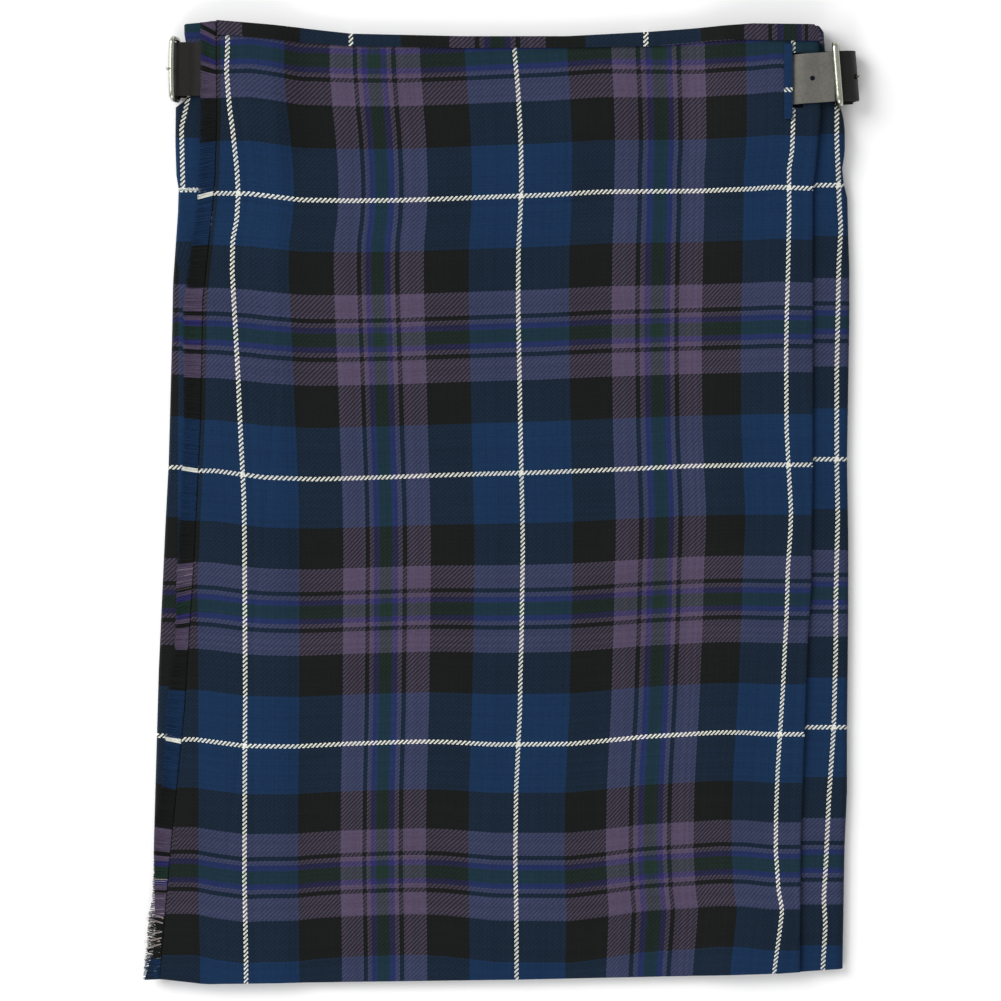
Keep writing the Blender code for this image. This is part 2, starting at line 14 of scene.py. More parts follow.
import bmesh
import bpy
import numpy as np
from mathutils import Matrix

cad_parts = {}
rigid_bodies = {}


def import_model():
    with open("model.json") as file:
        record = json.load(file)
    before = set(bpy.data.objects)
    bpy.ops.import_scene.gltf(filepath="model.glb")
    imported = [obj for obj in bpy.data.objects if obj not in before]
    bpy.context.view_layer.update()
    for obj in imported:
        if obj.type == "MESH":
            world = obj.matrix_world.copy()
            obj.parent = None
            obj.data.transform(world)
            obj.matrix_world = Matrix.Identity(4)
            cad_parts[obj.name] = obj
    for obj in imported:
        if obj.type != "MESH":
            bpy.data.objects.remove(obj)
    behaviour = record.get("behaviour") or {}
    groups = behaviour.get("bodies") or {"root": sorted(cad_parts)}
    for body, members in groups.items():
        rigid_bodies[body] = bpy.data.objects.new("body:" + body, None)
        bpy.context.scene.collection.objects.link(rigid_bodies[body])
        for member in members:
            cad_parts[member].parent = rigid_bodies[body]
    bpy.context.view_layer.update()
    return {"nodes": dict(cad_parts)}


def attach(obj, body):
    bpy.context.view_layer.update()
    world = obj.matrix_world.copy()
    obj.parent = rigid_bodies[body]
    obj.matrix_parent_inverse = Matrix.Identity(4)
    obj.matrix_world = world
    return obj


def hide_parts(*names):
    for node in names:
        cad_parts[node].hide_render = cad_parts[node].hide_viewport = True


for thing in list(bpy.data.objects):
    bpy.data.objects.remove(thing, do_unlink=True)
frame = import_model()
print("nodes:", ", ".join(sorted(frame["nodes"])))

# %% [markdown]
# ## Camera, floor and light
# The photo was taken from straight above with a long lens, so a long lens looks down here too.
# One pixel is 0.64 mm at the height of the cloth. The floor is nearly white. A soft sky gives
# most of the light, a large lamp from the upper left gives the creases their shade, and a lower
# one beyond the hem fills them a little.

# %% Camera
MM = 0.001
PIXEL = 0.64
PICTURE = 1001
CAMERA_ABOVE = 3000.0
CLOTH_HEIGHT = 10.0
# Moves a point of the kilt's own drawing to its place in the frame
PLACE = (-0.35, 0.33, 0.016)
PICTURE_MIDDLE = (500.5, 500.5)
# The pixel at which the kilt's drawing has its own middle
DRAWING_MIDDLE = (500.5, 502.0)


def pixel_from_drawing(x, y):
    """A place in the kilt's drawing, in millimetres, as a pixel of the photo."""
    return x / PIXEL + DRAWING_MIDDLE[0], DRAWING_MIDDLE[1] - y / PIXEL


middle = (0.0, (DRAWING_MIDDLE[1] - PICTURE_MIDDLE[1]) * PIXEL)
lens = bpy.data.cameras.new("camera")
lens.sensor_width = 36.0
lens.lens = 36.0 * CAMERA_ABOVE / (PICTURE * PIXEL)
camera = bpy.data.objects.new("camera", lens)
camera.location = (
    (middle[0] + PLACE[0]) * MM,
    (middle[1] + PLACE[1]) * MM,
    (CLOTH_HEIGHT + CAMERA_ABOVE) * MM,
)
bpy.context.scene.collection.objects.link(camera)
bpy.context.scene.camera = camera
print("lens", round(lens.lens, 1), "mm, looking straight down")

# %% Floor
floor_mesh = bpy.data.meshes.new("floor")
floor_mesh.from_pydata([(-6, -6, 0), (6, -6, 0), (6, 6, 0), (-6, 6, 0)], [], [(0, 1, 2, 3)])
floor = bpy.data.objects.new("floor", floor_mesh)
bpy.context.scene.collection.objects.link(floor)
floor_paint = bpy.data.materials.new("pale floor")
floor_paint.use_nodes = True
floor_shader = floor_paint.node_tree.nodes["Principled BSDF"]
floor_shader.inputs["Base Color"].default_value = (0.96, 0.96, 0.96, 1.0)
floor_shader.inputs["Roughness"].default_value = 0.9
floor_mesh.materials.append(floor_paint)

# %% Light
LAMPS = (
    # name, place in metres, size in metres, watts
    ("key lamp", (-3.3, 2.0, 3.2), 3.0, 196.0),
    ("low lamp", (-0.9, -3.2, 2.6), 2.4, 58.0),
)
scene = bpy.context.scene
sky = bpy.data.worlds.new("soft sky")
sky.use_nodes = True
sky.node_tree.nodes["Background"].inputs["Color"].default_value = (1.0, 1.0, 1.0, 1.0)
sky.node_tree.nodes["Background"].inputs["Strength"].default_value = 0.54
scene.world = sky
for name, place, size, watts in LAMPS:
    lamp_data = bpy.data.lights.new(name, "AREA")
    lamp_data.size = size
    lamp_data.energy = watts
    lamp = bpy.data.objects.new(name, lamp_data)
    lamp.location = place
    towards = -lamp.location
    lamp.rotation_euler = towards.to_track_quat("-Z", "Y").to_euler()
    scene.collection.objects.link(lamp)
scene.view_settings.view_transform = "Standard"
print("lamps:", ", ".join(row[0] for row in LAMPS))

# %% [markdown]
# ## The drawing of the kilt
# The cloth shells must lie exactly where their CAD solids lie, so the same sizes and edge tables
# are repeated here. Each edge is a short table, read straight between its rows. The only change
# is that the layers step up in soft curves, as cloth does.

# %% Sizes of the cloth and its layers
CLOTH = 1.2
GAP = 0.35
STEP = CLOTH + GAP
BAND_CLOTH = 1.2
BAND_END = 206.0
LEATHER = 1.8
CHAPE_LEATHER = 1.4
WIRE_RADIUS = 1.6
PRONG_RADIUS = 0.9
HEM_ROW, WAIST_ROW, BAND_ROW = -306.0, 306.0, 297.0
BAND_INSET = BAND_CLOTH + GAP
UNDER_INSET = 0.5
SIDE_RISE = 2 * STEP
STRAP_ROOM = LEATHER + 0.3
CORNER_LIFT = 4.5
SIDE_RAMP = (122.0, 147.0)
CORNER_RAMP = (110.0, 165.0)
CORNER_ROWS = (190.0, 246.0)
BAND_ROWS = (270.0, BAND_ROW)
PLEAT_Z = CLOTH / 2
PLEAT_COUNT = 22
PLEAT_DEPTH = 12.0
PLEAT_SLOPE = 3.2
SIDE_TURN = 12.0
LAST_FACE = 6.0
# The room between the pleats and the under apron
PLEAT_ROOM = 0.5
UNDER_Z = PLEAT_Z + 3 * STEP + PLEAT_ROOM
OVER_Z = UNDER_Z + STEP
INNER_FOLD = 150.0
UNDERLAY_SEAM = 156.0
UNDER_APRON_END = 165.0
RIGHT_HIP_TUCK = 1.0

# %% Edges across the kilt: place across, height up
WAIST_EDGE = (
    (-203, 305.9), (-181.4, 307.8), (-128.3, 303.4), (-95.7, 299.8), (-24.6, 298.2),
    (42.6, 298.2), (92.5, 300.8), (128.3, 303.4), (161, 305.6), (203.6, 305.1), (206.4, 300.8),
    (208.3, 296),
)
HEM_EDGE = (
    (-228.8, -305.9), (-217.3, -305.3), (-188.5, -308.5), (-128.3, -307.8), (11.8, -305.9),
    (127.7, -303.4), (178.2, -301.8), (220.5, -298.9),
)

# %% Edges down the kilt: height up, place across
RIGHT_HIP_EDGE = (
    (305.9, -202.6), (298, -202.4), (293, -201.2), (258, -201.2), (253, -208),
    (230, -208.3), (206, -207.7), (203, -206.4), (186, -206.9), (140, -210.1),
    (110, -210.6), (26, -212.8), (-8, -214.6), (-22.4, -215.3), (-108.2, -219.2),
    (-220.2, -222.4), (-305.9, -221),
)
LEFT_HIP_EDGE = (
    (303, 207), (283, 209.5), (270, 211.7), (264.5, 214.9), (260.7, 217.9),
    (254.5, 219.6), (246.3, 220.5), (232, 220.5), (221.5, 218.9), (212.5, 219.9),
    (202, 222.4), (177, 223), (156, 223.7), (121.4, 223.7), (29.2, 222.2),
    (-23.5, 223), (-71, 223), (-153, 222.2), (-189.4, 222.2), (-226.2, 220.6),
    (-298.9, 219.4),
)
APRON_FOLD_EDGE = (
    (306, 203.5), (250, 204.5), (213, 201.5), (200, 200), (20, 200),
    (-59, 199), (-90, 196.8), (-148, 194.9), (-220, 192.3), (-306, 191.7),
)
APRON_FREE_EDGE = (
    (306, -181.4), (244.5, -180.8), (197, -182.7), (155, -189.1), (110, -191),
    (46, -191.7), (-43.5, -196.2), (-94.7, -198.7), (-139.5, -202.6), (-184.3, -206.4),
    (-222.7, -210.9), (-267.5, -214.7), (-306, -217.9),
)
FRINGE_TIPS = (
    (306, -191.5), (250, -191.5), (197, -193.6), (123, -203.2), (46, -202.6),
    (-43.5, -207), (-94.7, -208.3), (-126.7, -213.4), (-178, -216), (-206.7, -221.1),
    (-254.7, -222.8), (-265, -225.2), (-285, -226.4), (-306, -228.8),
)
CAD_ROWS = (
    306, 297, 292, 281, 270, 258, 253, 250, 246, 228, 210, 190, 130, 50, -40, -130, -220, -306,
)
CAD_PLEAT_ROWS = (306, 297, 270, 246, 190, 20, -140, -306)


# %% Reading a table and stepping up the layers
def read(table, place):
    """The second column of a table where its first column is `place`."""
    rows = sorted(table)
    return float(np.interp(place, [row[0] for row in rows], [row[1] for row in rows]))


def soft_step(limits, value):
    """0 below the first limit, 1 above the second, and a soft curve between."""
    part = min(1.0, max(0.0, (value - limits[0]) / (limits[1] - limits[0])))
    return part * part * (3 - 2 * part)


def straight_between(table, rows, row):
    return read([(r, read(table, r)) for r in rows], row)


def free_edge(row):
    return straight_between(APRON_FREE_EDGE, CAD_ROWS, row)


def pleats_span(row):
    left = straight_between(RIGHT_HIP_EDGE, CAD_PLEAT_ROWS, row) + SIDE_TURN
    right = straight_between(LEFT_HIP_EDGE, CAD_PLEAT_ROWS, row) - SIDE_TURN
    return left, right


def height_up(x, row, waist_inset=0.0):
    part = (row - HEM_ROW) / (WAIST_ROW - HEM_ROW)
    return read(HEM_EDGE, x) * (1 - part) + (read(WAIST_EDGE, x) - waist_inset) * part


def lift(x, row):
    corner = soft_step(CORNER_RAMP, abs(x)) * soft_step(CORNER_ROWS, row)
    band = soft_step(BAND_ROWS, row)
    return CORNER_LIFT * corner + STEP * band * (1 - corner)


def over_z(x, row):
    side = soft_step(SIDE_RAMP, abs(x))
    room = STRAP_ROOM * side * soft_step(CORNER_ROWS, row)
    return OVER_Z + SIDE_RISE * side + lift(x, row) + room


print("over apron lies at", OVER_Z, "mm in the middle and", round(over_z(180, 300), 2), "at a corner")

# %% [markdown]
# ## The tartan's places
# Cloth keeps its pattern when it bends, so the pattern lives in a UV map and not in space. One
# unit of the map is one whole repeat, or sett, from white line to white line. The white lines of
# the real kilt wander a little as it lies, and six short tables give where they run.

# %% White lines that run down the over apron, in pixels: down, across
LEFT_LINE = (
    (50, 228.1), (70, 227), (90, 228.4), (110, 230.2), (130, 233.1), (150, 235.1), (170, 237.1),
    (195, 238.2), (220, 236.6), (240, 232.7), (270, 232.1), (300, 233.7), (340, 236), (380, 238.2),
    (420, 239.9), (460, 241.9), (500, 243.9), (540, 244.5), (690, 245.1), (880, 244.4), (960, 246),
)
CENTRE_LINE = (
    (52, 514.5), (70, 516.2), (90, 518), (110, 519.1), (130, 520.3), (150, 521), (180, 521.4),
    (210, 520.5), (230, 519.4), (250, 518.4), (300, 518.1), (350, 518.9), (390, 519.7),
    (430, 520.4), (470, 521.3), (510, 522.2), (550, 522.8), (600, 522), (640, 521.5),
    (670, 520.5), (710, 519.9), (750, 518), (790, 516.1), (860, 515.2), (910, 516.2), (950, 516.5),
)
RIGHT_LINE = (
    (118, 792.4), (150, 791.5), (170, 788.6), (210, 789), (270, 787.9), (310, 786.7),
    (350, 786), (430, 786.4), (470, 788.5), (510, 790.8), (530, 790.3), (570, 787.6),
    (610, 786.7), (650, 784.6), (690, 782.7), (730, 780.1), (770, 777.5), (810, 776),
    (850, 775.6), (890, 778.4), (910, 782), (930, 779.6), (950, 776.9), (972, 774),
)
HIP_LINE = (
    (108, 836.5), (140, 836.5), (187, 838.6), (228, 841), (266, 839), (371, 837), (460, 837),
    (517, 838), (600, 836), (650, 836), (728, 834), (800, 829), (854, 826.6), (899, 824),
    (925, 825.7), (970, 823),
)
UNDER_LINE = (
    (24, 214), (45, 212), (97, 189), (128, 182), (188.4, 183), (190.4, 206), (240, 215),
    (262, 230), (980, 228),
)

# %% White lines that run across, in pixels: across, down
UPPER_LINE = (
    (225, 192.8), (250, 193.2), (275, 196.2), (300, 199.1), (350, 199.9), (400, 199.5),
    (450, 197.8), (500, 195.8), (550, 194.1), (600, 191), (650, 190.6), (700, 190.2),
    (750, 188.5), (775, 186.6), (813, 188),
)
MIDDLE_LINE = (
    (215, 470.3), (240, 473.7), (265, 477), (315, 478.8), (340, 478.1), (390, 476.6),
    (440, 474.7), (490, 473.2), (540, 472), (590, 470), (640, 467.9), (690, 465.5), (765, 464.3),
)
LOWER_LINE = (
    (195, 738.6), (220, 741.9), (245, 745.2), (295, 746), (345, 743.4), (395, 741.7),
    (420, 741.1), (445, 741.4), (495, 744), (545, 743.7), (570, 743.4), (595, 741.2),
    (620, 738.7), (645, 736.1), (695, 733.3), (720, 731.7), (745, 731.9), (770, 733.5),
)
SETT_PIXELS = 277.0
SETT = SETT_PIXELS * PIXEL
print("one sett is", round(SETT, 1), "mm")

# %% Small shifts of the stripes
# The yarns of the over apron lie a little closer in some stripes. Even place, place in the chart
OVER_SHIFT = (
    (-390, -404), (-290, -294), (-248, -248), (-199, -202), (-161, -165), (-122, -124), (-81, -83),
    (-43, -46), (0, 0), (47, 46), (86, 83.5), (110, 107), (129, 124), (146.5, 141), (171, 165),
    (206, 202), (248, 248), (390, 390),
)
# How the stripes that run across lie between their lines: pixel down, pixel with that weft
DOWN_SHIFT = (
    (20, 20), (300, 299), (345, 343.6), (390, 388.4), (450, 449.4), (480, 479.5), (745, 744.3),
    (795, 796.4), (840, 843), (885, 887.3), (985, 987.3),
)
# Under the left strap the under apron sags: its pixel down, the over apron's pixel with that weft
UNDER_DOWN = ((18, 43), (20, 46), (33, 61), (39, 67), (97, 100.5), (980, 983.5))
# White lines that run across the hip panel and the back, in pixels down
HIP_WEFT_LINES = (185.0, 459.2, 727.4)
BACK_WEFT_LINES = (195.0, 473.0, 742.0)


# %% From a place on the kilt to a place in the tartan
def between_lines(place, lines):
    """A place among three white lines as -1, 0 and 1, and on past them at the same pace."""
    first, second, third = lines
    if place < second:
        return (place - second) / (second - first)
    return (place - second) / (third - second)


def tartan_down(across, down):
    lines = [read(table, across) for table in (UPPER_LINE, MIDDLE_LINE, LOWER_LINE)]
    return between_lines(read(DOWN_SHIFT, down), lines)


def over_apron_tartan(x, y):
    across, down = pixel_from_drawing(x, y)
    lines = [read(table, down) for table in (LEFT_LINE, CENTRE_LINE, RIGHT_LINE)]
    even = between_lines(across, lines) * SETT_YARNS
    return read(OVER_SHIFT, even) / SETT_YARNS, tartan_down(across, down)


def hip_tartan(x, y):
    across, down = pixel_from_drawing(x, y)
    return (across - read(HIP_LINE, down)) / SETT_PIXELS, between_lines(down, HIP_WEFT_LINES)


def under_apron_tartan(x, y):
    across, down = pixel_from_drawing(x, y)
    return (across - read(UNDER_LINE, down)) / SETT_PIXELS, tartan_down(across, read(UNDER_DOWN, down))


def back_tartan(x, y):
    """The back is pleated to the sett: its faces together show the whole pattern again."""
    return x / SETT, between_lines(pixel_from_drawing(x, y)[1], BACK_WEFT_LINES)


# %% [markdown]
# ## Creases
# Wool lies soft. The photo shows a crease where the stitched fell of the pleats ends, a thin
# slanting one down the left of the apron, and a small notch at the fold edge. Each is a row here,
# with its own ends, width and height, and a few long shallow swells lie on every panel.

# %% Creases as soft ridges and troughs
CREASES = (
    # from x, from y, to x, to y, half width, height
    (-178, 208, -132, 204.8, 5, -0.28),
    (-132, 204.8, -30, 201.6, 7, -0.24),
    (-30, 201.6, 114, 208.6, 8, 0.25),
    (114, 208.6, 196, 213.1, 6, -0.28),
    (-102.7, 201.3, -48.3, 200.3, 1, -0.30),
    (-48.3, 200.3, -16.3, 203.2, 1, -0.32),
    (-16.3, 203.2, 38.1, 203.5, 1.2, -0.22),
    (-139.2, 129.3, -141.8, 83.2, 1.6, -0.40),
    (-141.8, 83.2, -153.9, -47.4, 1.5, -0.45),
    (-153.9, -47.4, -173.8, -219.5, 1.7, -0.42),
    (-173.8, -219.5, -179.5, -258, 2.2, -0.28),
    (-60, 120, 30, -60, 30, 0.45),
    (70, -10, 130, -200, 26, 0.40),
    (-120, -120, -60, -280, 24, 0.42),
    (20, 250, 110, 140, 22, 0.35),
    (-100, 260, -60, 170, 20, 0.30),
    (150, 170, 168, 20, 14, 0.30),
    (0, -150, 10, -300, 18, 0.35),
    (182, -240, 195, -256, 4, 0.60),
    (150, -250, 190, -290, 9, 0.40),
    (-200, -200, -190, -300, 9, 0.40),
)
CREASE_START = np.array([row[0:2] for row in CREASES])
CREASE_RUN = np.array([row[2:4] for row in CREASES]) - CREASE_START
CREASE_WIDTH = np.array([row[4] for row in CREASES])
CREASE_HEIGHT = np.array([row[5] for row in CREASES])


def crease(x, y):
    """Height added at a place by all the creases together."""
    away = np.array((x, y)) - CREASE_START
    along = np.sum(away * CREASE_RUN, axis=1) / np.sum(CREASE_RUN**2, axis=1)
    nearest = CREASE_RUN * np.clip(along, 0, 1)[:, None]
    distance = np.hypot(*(away - nearest).T)
    return float(np.sum(CREASE_HEIGHT * np.exp(-((distance / CREASE_WIDTH) ** 2))))


print(len(CREASES), "creases")

# %% [markdown]
# ## Making a shell of cloth
# Every panel is an open grid of points that follows the folded line of the cloth, row by row.
# Solidify gives it the cloth's thickness, and the UV map keeps the tartan in place on both faces.
# The finished wall is turned into a plain mesh, so that nothing changes it later.

# %% Helpers for meshes
def at(point):
    return [(c + move) * MM for c, move in zip(point, PLACE)]


def show(name, shape, finish):
    """Turns a finished bmesh into an object of the scene."""
    mesh = bpy.data.meshes.new(name)
    shape.to_mesh(mesh)
    shape.free()
    piece = bpy.data.objects.new(name, mesh)
    bpy.context.scene.collection.objects.link(piece)
    mesh.materials.append(finish)
    return piece


def smooth(mesh, sharp):
    mesh.polygons.foreach_set("use_smooth", [True] * len(mesh.polygons))
    mesh.set_sharp_from_angle(angle=math.radians(sharp))


def bake(piece, sharp=50.0):
    """Applies the modifiers by taking the evaluated mesh, and smooths its shading."""
    bpy.context.view_layer.update()
    graph = bpy.context.evaluated_depsgraph_get()
    made = bpy.data.meshes.new_from_object(piece.evaluated_get(graph))
    made.name = piece.name
    piece.modifiers.clear()
    old = piece.data
    piece.data = made
    bpy.data.meshes.remove(old)
    smooth(made, sharp)
    return piece


def count_triangles(piece):
    return sum(len(face.vertices) - 2 for face in piece.data.polygons)


def wall_through(name, grid, thickness, finish, skip=(), uvs=()):
    """A wall through rows of points, without the cells in skip, with one UV for each point."""
    shape = bmesh.new()
    layer = shape.loops.layers.uv.new("sett") if uvs else None
    points = [[shape.verts.new(at(point)) for point in row] for row in grid]
    places = {}
    for row_points, row_uvs in zip(points, uvs):
        places.update(zip(row_points, row_uvs))
    for r in range(len(points) - 1):
        for c in range(len(points[0]) - 1):
            if (r, c) in skip:
                continue
            corners = points[r][c], points[r + 1][c], points[r + 1][c + 1], points[r][c + 1]
            face = shape.faces.new(corners)
            for loop in face.loops if uvs else ():
                loop[layer].uv = places[loop.vert]
    loose = [vertex for vertex in shape.verts if not vertex.link_faces]
    bmesh.ops.delete(shape, geom=loose, context="VERTS")
    piece = show(name, shape, finish)
    wall = piece.modifiers.new("wall", "SOLIDIFY")
    wall.thickness = thickness * MM
    wall.offset = 0.0
    wall.use_even_offset = True
    return piece


def cloth_shell(name, grid, uvs, thickness, finish, skip=()):
    piece = bake(wall_through(name, grid, thickness, finish, skip, uvs))
    print(name, len(grid), "rows,", len(grid[0]), "columns,", count_triangles(piece), "triangles")
    return piece


# %% Folded lines, divided finely
def turn(centre_x, centre_z, radius, start, end, parts):
    made = []
    for i in range(parts + 1):
        angle = math.radians(start + (end - start) * i / parts)
        made.append((centre_x + radius * math.cos(angle), centre_z + radius * math.sin(angle)))
    return made


def divide(lines, longest):
    """Divides each stretch of the folded lines into the same number of parts on every row."""
    counts = []
    for k in range(len(lines[0]) - 1):
        length = max(math.dist(line[k], line[k + 1]) for line in lines)
        counts.append(max(1, math.ceil(length / longest)))
    divided = []
    for line in lines:
        made = [line[0]]
        for a, b, count in zip(line, line[1:], counts):
            for i in range(1, count + 1):
                made.append((a[0] + (b[0] - a[0]) * i / count, a[1] + (b[1] - a[1]) * i / count))
        divided.append(made)
    return divided


def fine_rows(spacing, keep=()):
    count = round((WAIST_ROW - HEM_ROW) / spacing)
    rows = {round(WAIST_ROW - i * spacing, 2) for i in range(count + 1)} | {HEM_ROW}
    near = {row for row in rows if any(0 < abs(row - k) < spacing / 2 for k in keep)}
    return sorted((rows - near) | set(keep), reverse=True)


print("rows 4 mm apart:", len(fine_rows(4.0)))

# %% [markdown]
# ## The weave
# The cloth is a two-by-two twill: each yarn goes over two and under two, one step along on each
# row, which gives the fine diagonal. In the tartan both sets of yarns have the same order of
# colours. So the shader asks two things: which yarn is on top here, and what colour is it? Both
# answers come from counting yarns along the UV map. The order below is a traditional kind of
# check, charted as a count of yarns from the white line out to the green middle.

# %% Colours of the yarns
def from_screen(red, green, blue):
    """A colour as a screen shows it, turned into the light values that Blender uses."""
    made = []
    for value in (red, green, blue):
        part = value / 255
        made.append(part / 12.92 if part <= 0.04045 else ((part + 0.055) / 1.055) ** 2.4)
    return (*made, 1.0)


WHITE = from_screen(216, 218, 209)
BLUE = from_screen(19, 44, 75)
BLACK = from_screen(20, 22, 21)
MAUVE = from_screen(79, 68, 90)
VIOLET = from_screen(42, 40, 92)
GREEN = from_screen(27, 46, 39)
# Yarns from the white line's middle to the green stripe's middle, colour, how crisp its twill is
STRIPES = (
    (2.1, WHITE, 1), (44, BLUE, 0.05), (37.5, BLACK, 0.2), (21.4, MAUVE, 0.35),
    (4, BLACK, 0.2), (4, MAUVE, 0.35), (5, VIOLET, 0.2), (6, GREEN, 0.05),
)
HALF_SETT_YARNS = sum(row[0] for row in STRIPES)
SETT_YARNS = 2 * HALF_SETT_YARNS
print(SETT_YARNS, "yarns in a sett,", round(SETT / SETT_YARNS, 2), "mm each")


# %% Small helpers for shader nodes
def new_group(name, inputs, outputs):
    tree = bpy.data.node_groups.new(name, "ShaderNodeTree")
    for title, kind, value in inputs:
        socket = tree.interface.new_socket(title, in_out="INPUT", socket_type=kind)
        socket.default_value = value
    for title, kind in outputs:
        tree.interface.new_socket(title, in_out="OUTPUT", socket_type=kind)
    return tree, tree.nodes.new("NodeGroupInput"), tree.nodes.new("NodeGroupOutput")


def wire_in(tree, value, socket):
    """Links a node's output to a socket, or sets the socket to a plain value."""
    if isinstance(value, bpy.types.NodeSocket):
        tree.links.new(value, socket)
    else:
        socket.default_value = value


def add(tree, kind, *wires, **settings):
    """Adds a node, with its settings by name and its inputs as pairs of socket and value."""
    node = tree.nodes.new(kind)
    for title, value in settings.items():
        setattr(node, title, value)
    for socket, value in wires:
        wire_in(tree, value, node.inputs[socket])
    return node


def feed(tree, node, **values):
    """Wires a node's inputs by their names, with _ for each space."""
    for title, value in values.items():
        wire_in(tree, value, node.inputs[title.replace("_", " ")])
    return node


def maths(tree, operation, a, b=0.0, c=0.0):
    return add(tree, "ShaderNodeMath", *enumerate((a, b, c)), operation=operation).outputs[0]


def mix(tree, factor, a, b, blend="MIX"):
    wires = (0, factor), (6, a), (7, b)
    return add(tree, "ShaderNodeMix", *wires, data_type="RGBA", blend_type=blend).outputs[2]


def noise(tree, vector, scale, detail=2.0, rough=0.5):
    wires = ("Scale", scale), ("Detail", detail), ("Roughness", rough), ("Vector", vector)
    return add(tree, "ShaderNodeTexNoise", *wires).outputs["Fac"]


def remap(tree, value, low, high, to_low, to_high):
    wires = enumerate((value, low, high, to_low, to_high))
    return add(tree, "ShaderNodeMapRange", *wires).outputs[0]


def combine(tree, *parts):
    return add(tree, "ShaderNodeCombineXYZ", *enumerate(parts)).outputs[0]


def split(tree, vector):
    return add(tree, "ShaderNodeSeparateXYZ", (0, vector)).outputs


def shade(tree, colour, amount):
    """A colour made lighter or darker by a grey value."""
    return mix(tree, 1.0, colour, combine(tree, amount, amount, amount), "MULTIPLY")


def object_place(tree):
    return add(tree, "ShaderNodeTexCoord").outputs["Object"]


def group_node(tree, group, **values):
    return feed(tree, add(tree, "ShaderNodeGroup", node_tree=group), **values)


# %% Group: the colour of one yarn
yarn_group, yarn_in, yarn_out = new_group(
    "colour of a yarn",
    [("Place", "NodeSocketFloat", 0.0), ("Unevenness", "NodeSocketFloat", 0.1)],
    [("Color", "NodeSocketColor"), ("Crisp", "NodeSocketFloat")],
)
counted = maths(yarn_group, "FLOOR", maths(yarn_group, "MULTIPLY", yarn_in.outputs[0], SETT_YARNS))
centred = maths(yarn_group, "DIVIDE", maths(yarn_group, "ADD", counted, 0.5), SETT_YARNS)
folded = maths(yarn_group, "PINGPONG", centred, 0.5)
out_from_white = maths(yarn_group, "MULTIPLY", folded, 2.0)


def stripe_ramp(tree, place, colours):
    """Gives each stripe its own value, with no blend from one to the next."""
    ramp = tree.nodes.new("ShaderNodeValToRGB")
    ramp.color_ramp.interpolation = "CONSTANT"
    stops = ramp.color_ramp.elements
    passed = 0.0
    for number, (row, colour) in enumerate(zip(STRIPES, colours)):
        stop = stops[number] if number < 2 else stops.new(0.99)
        stop.position = passed / HALF_SETT_YARNS
        stop.color = colour
        passed += row[0]
    tree.links.new(place, ramp.inputs[0])
    return ramp.outputs[0]


chart = stripe_ramp(yarn_group, out_from_white, [row[1] for row in STRIPES])
crispness = stripe_ramp(yarn_group, out_from_white, [(row[2],) * 3 + (1.0,) for row in STRIPES])
dice = add(yarn_group, "ShaderNodeTexWhiteNoise", ("W", counted), noise_dimensions="1D")
swing = maths(yarn_group, "MULTIPLY", maths(yarn_group, "SUBTRACT", dice.outputs["Value"], 0.5), 2.0)
bright = maths(yarn_group, "MULTIPLY_ADD", swing, yarn_in.outputs[1], 1.0)
feed(yarn_group, yarn_out, Color=shade(yarn_group, chart, bright), Crisp=crispness)
print("stripes out from the white line:", len(STRIPES))

# %% Group: the twill, over two and under two
twill_group, twill_in, twill_out = new_group(
    "two by two twill",
    [("Across", "NodeSocketFloat", 0.0), ("Down", "NodeSocketFloat", 0.0)],
    [("Warp on top", "NodeSocketFloat"), ("Height", "NodeSocketFloat")],
)
warp_count = maths(twill_group, "MULTIPLY", twill_in.outputs[0], SETT_YARNS)
weft_count = maths(twill_group, "MULTIPLY", twill_in.outputs[1], SETT_YARNS)
step_count = maths(
    twill_group, "ADD", maths(twill_group, "FLOOR", warp_count), maths(twill_group, "FLOOR", weft_count)
)
in_repeat = maths(twill_group, "FLOORED_MODULO", step_count, 4.0)
warp_on_top = maths(twill_group, "LESS_THAN", in_repeat, 1.5)


def roundness(tree, count):
    """1 on the crown of a yarn and 0 at its two sides."""
    side = maths(tree, "SUBTRACT", maths(tree, "FRACT", count), 0.5)
    return maths(tree, "SUBTRACT", 1.0, maths(tree, "MULTIPLY", maths(tree, "POWER", side, 2.0), 4.0))


warp_round = roundness(twill_group, warp_count)
weft_round = roundness(twill_group, weft_count)
crown_wires = (0, warp_on_top), (2, weft_round), (3, warp_round)
crown_mix = add(twill_group, "ShaderNodeMix", *crown_wires)
feed(twill_group, twill_out, Warp_on_top=warp_on_top, Height=crown_mix.outputs[0])
print("twill repeats every 4 yarns")


# %% Material: tartan cloth
def new_finish(name, roughness, metallic=0.0):
    """A new material, its tree of nodes and its shader."""
    finish = bpy.data.materials.new(name)
    finish.use_nodes = True
    tree = finish.node_tree
    node = tree.nodes["Principled BSDF"]
    return finish, tree, feed(tree, node, Roughness=roughness, Metallic=metallic)


def bump(tree, height, strength, distance):
    wires = ("Strength", strength), ("Distance", distance * MM), ("Height", height)
    return add(tree, "ShaderNodeBump", *wires).outputs[0]


# Colours are mixed by eye, as a screen shows them, and turned back into light values after that
SCREEN = 2.2


def power(tree, colour, amount):
    return add(tree, "ShaderNodeGamma", ("Color", colour), ("Gamma", amount)).outputs[0]


# How much one yarn differs from the next in brightness, and how much the nap does from place to place
UNEVENNESS = 0.14
NAP = 0.12


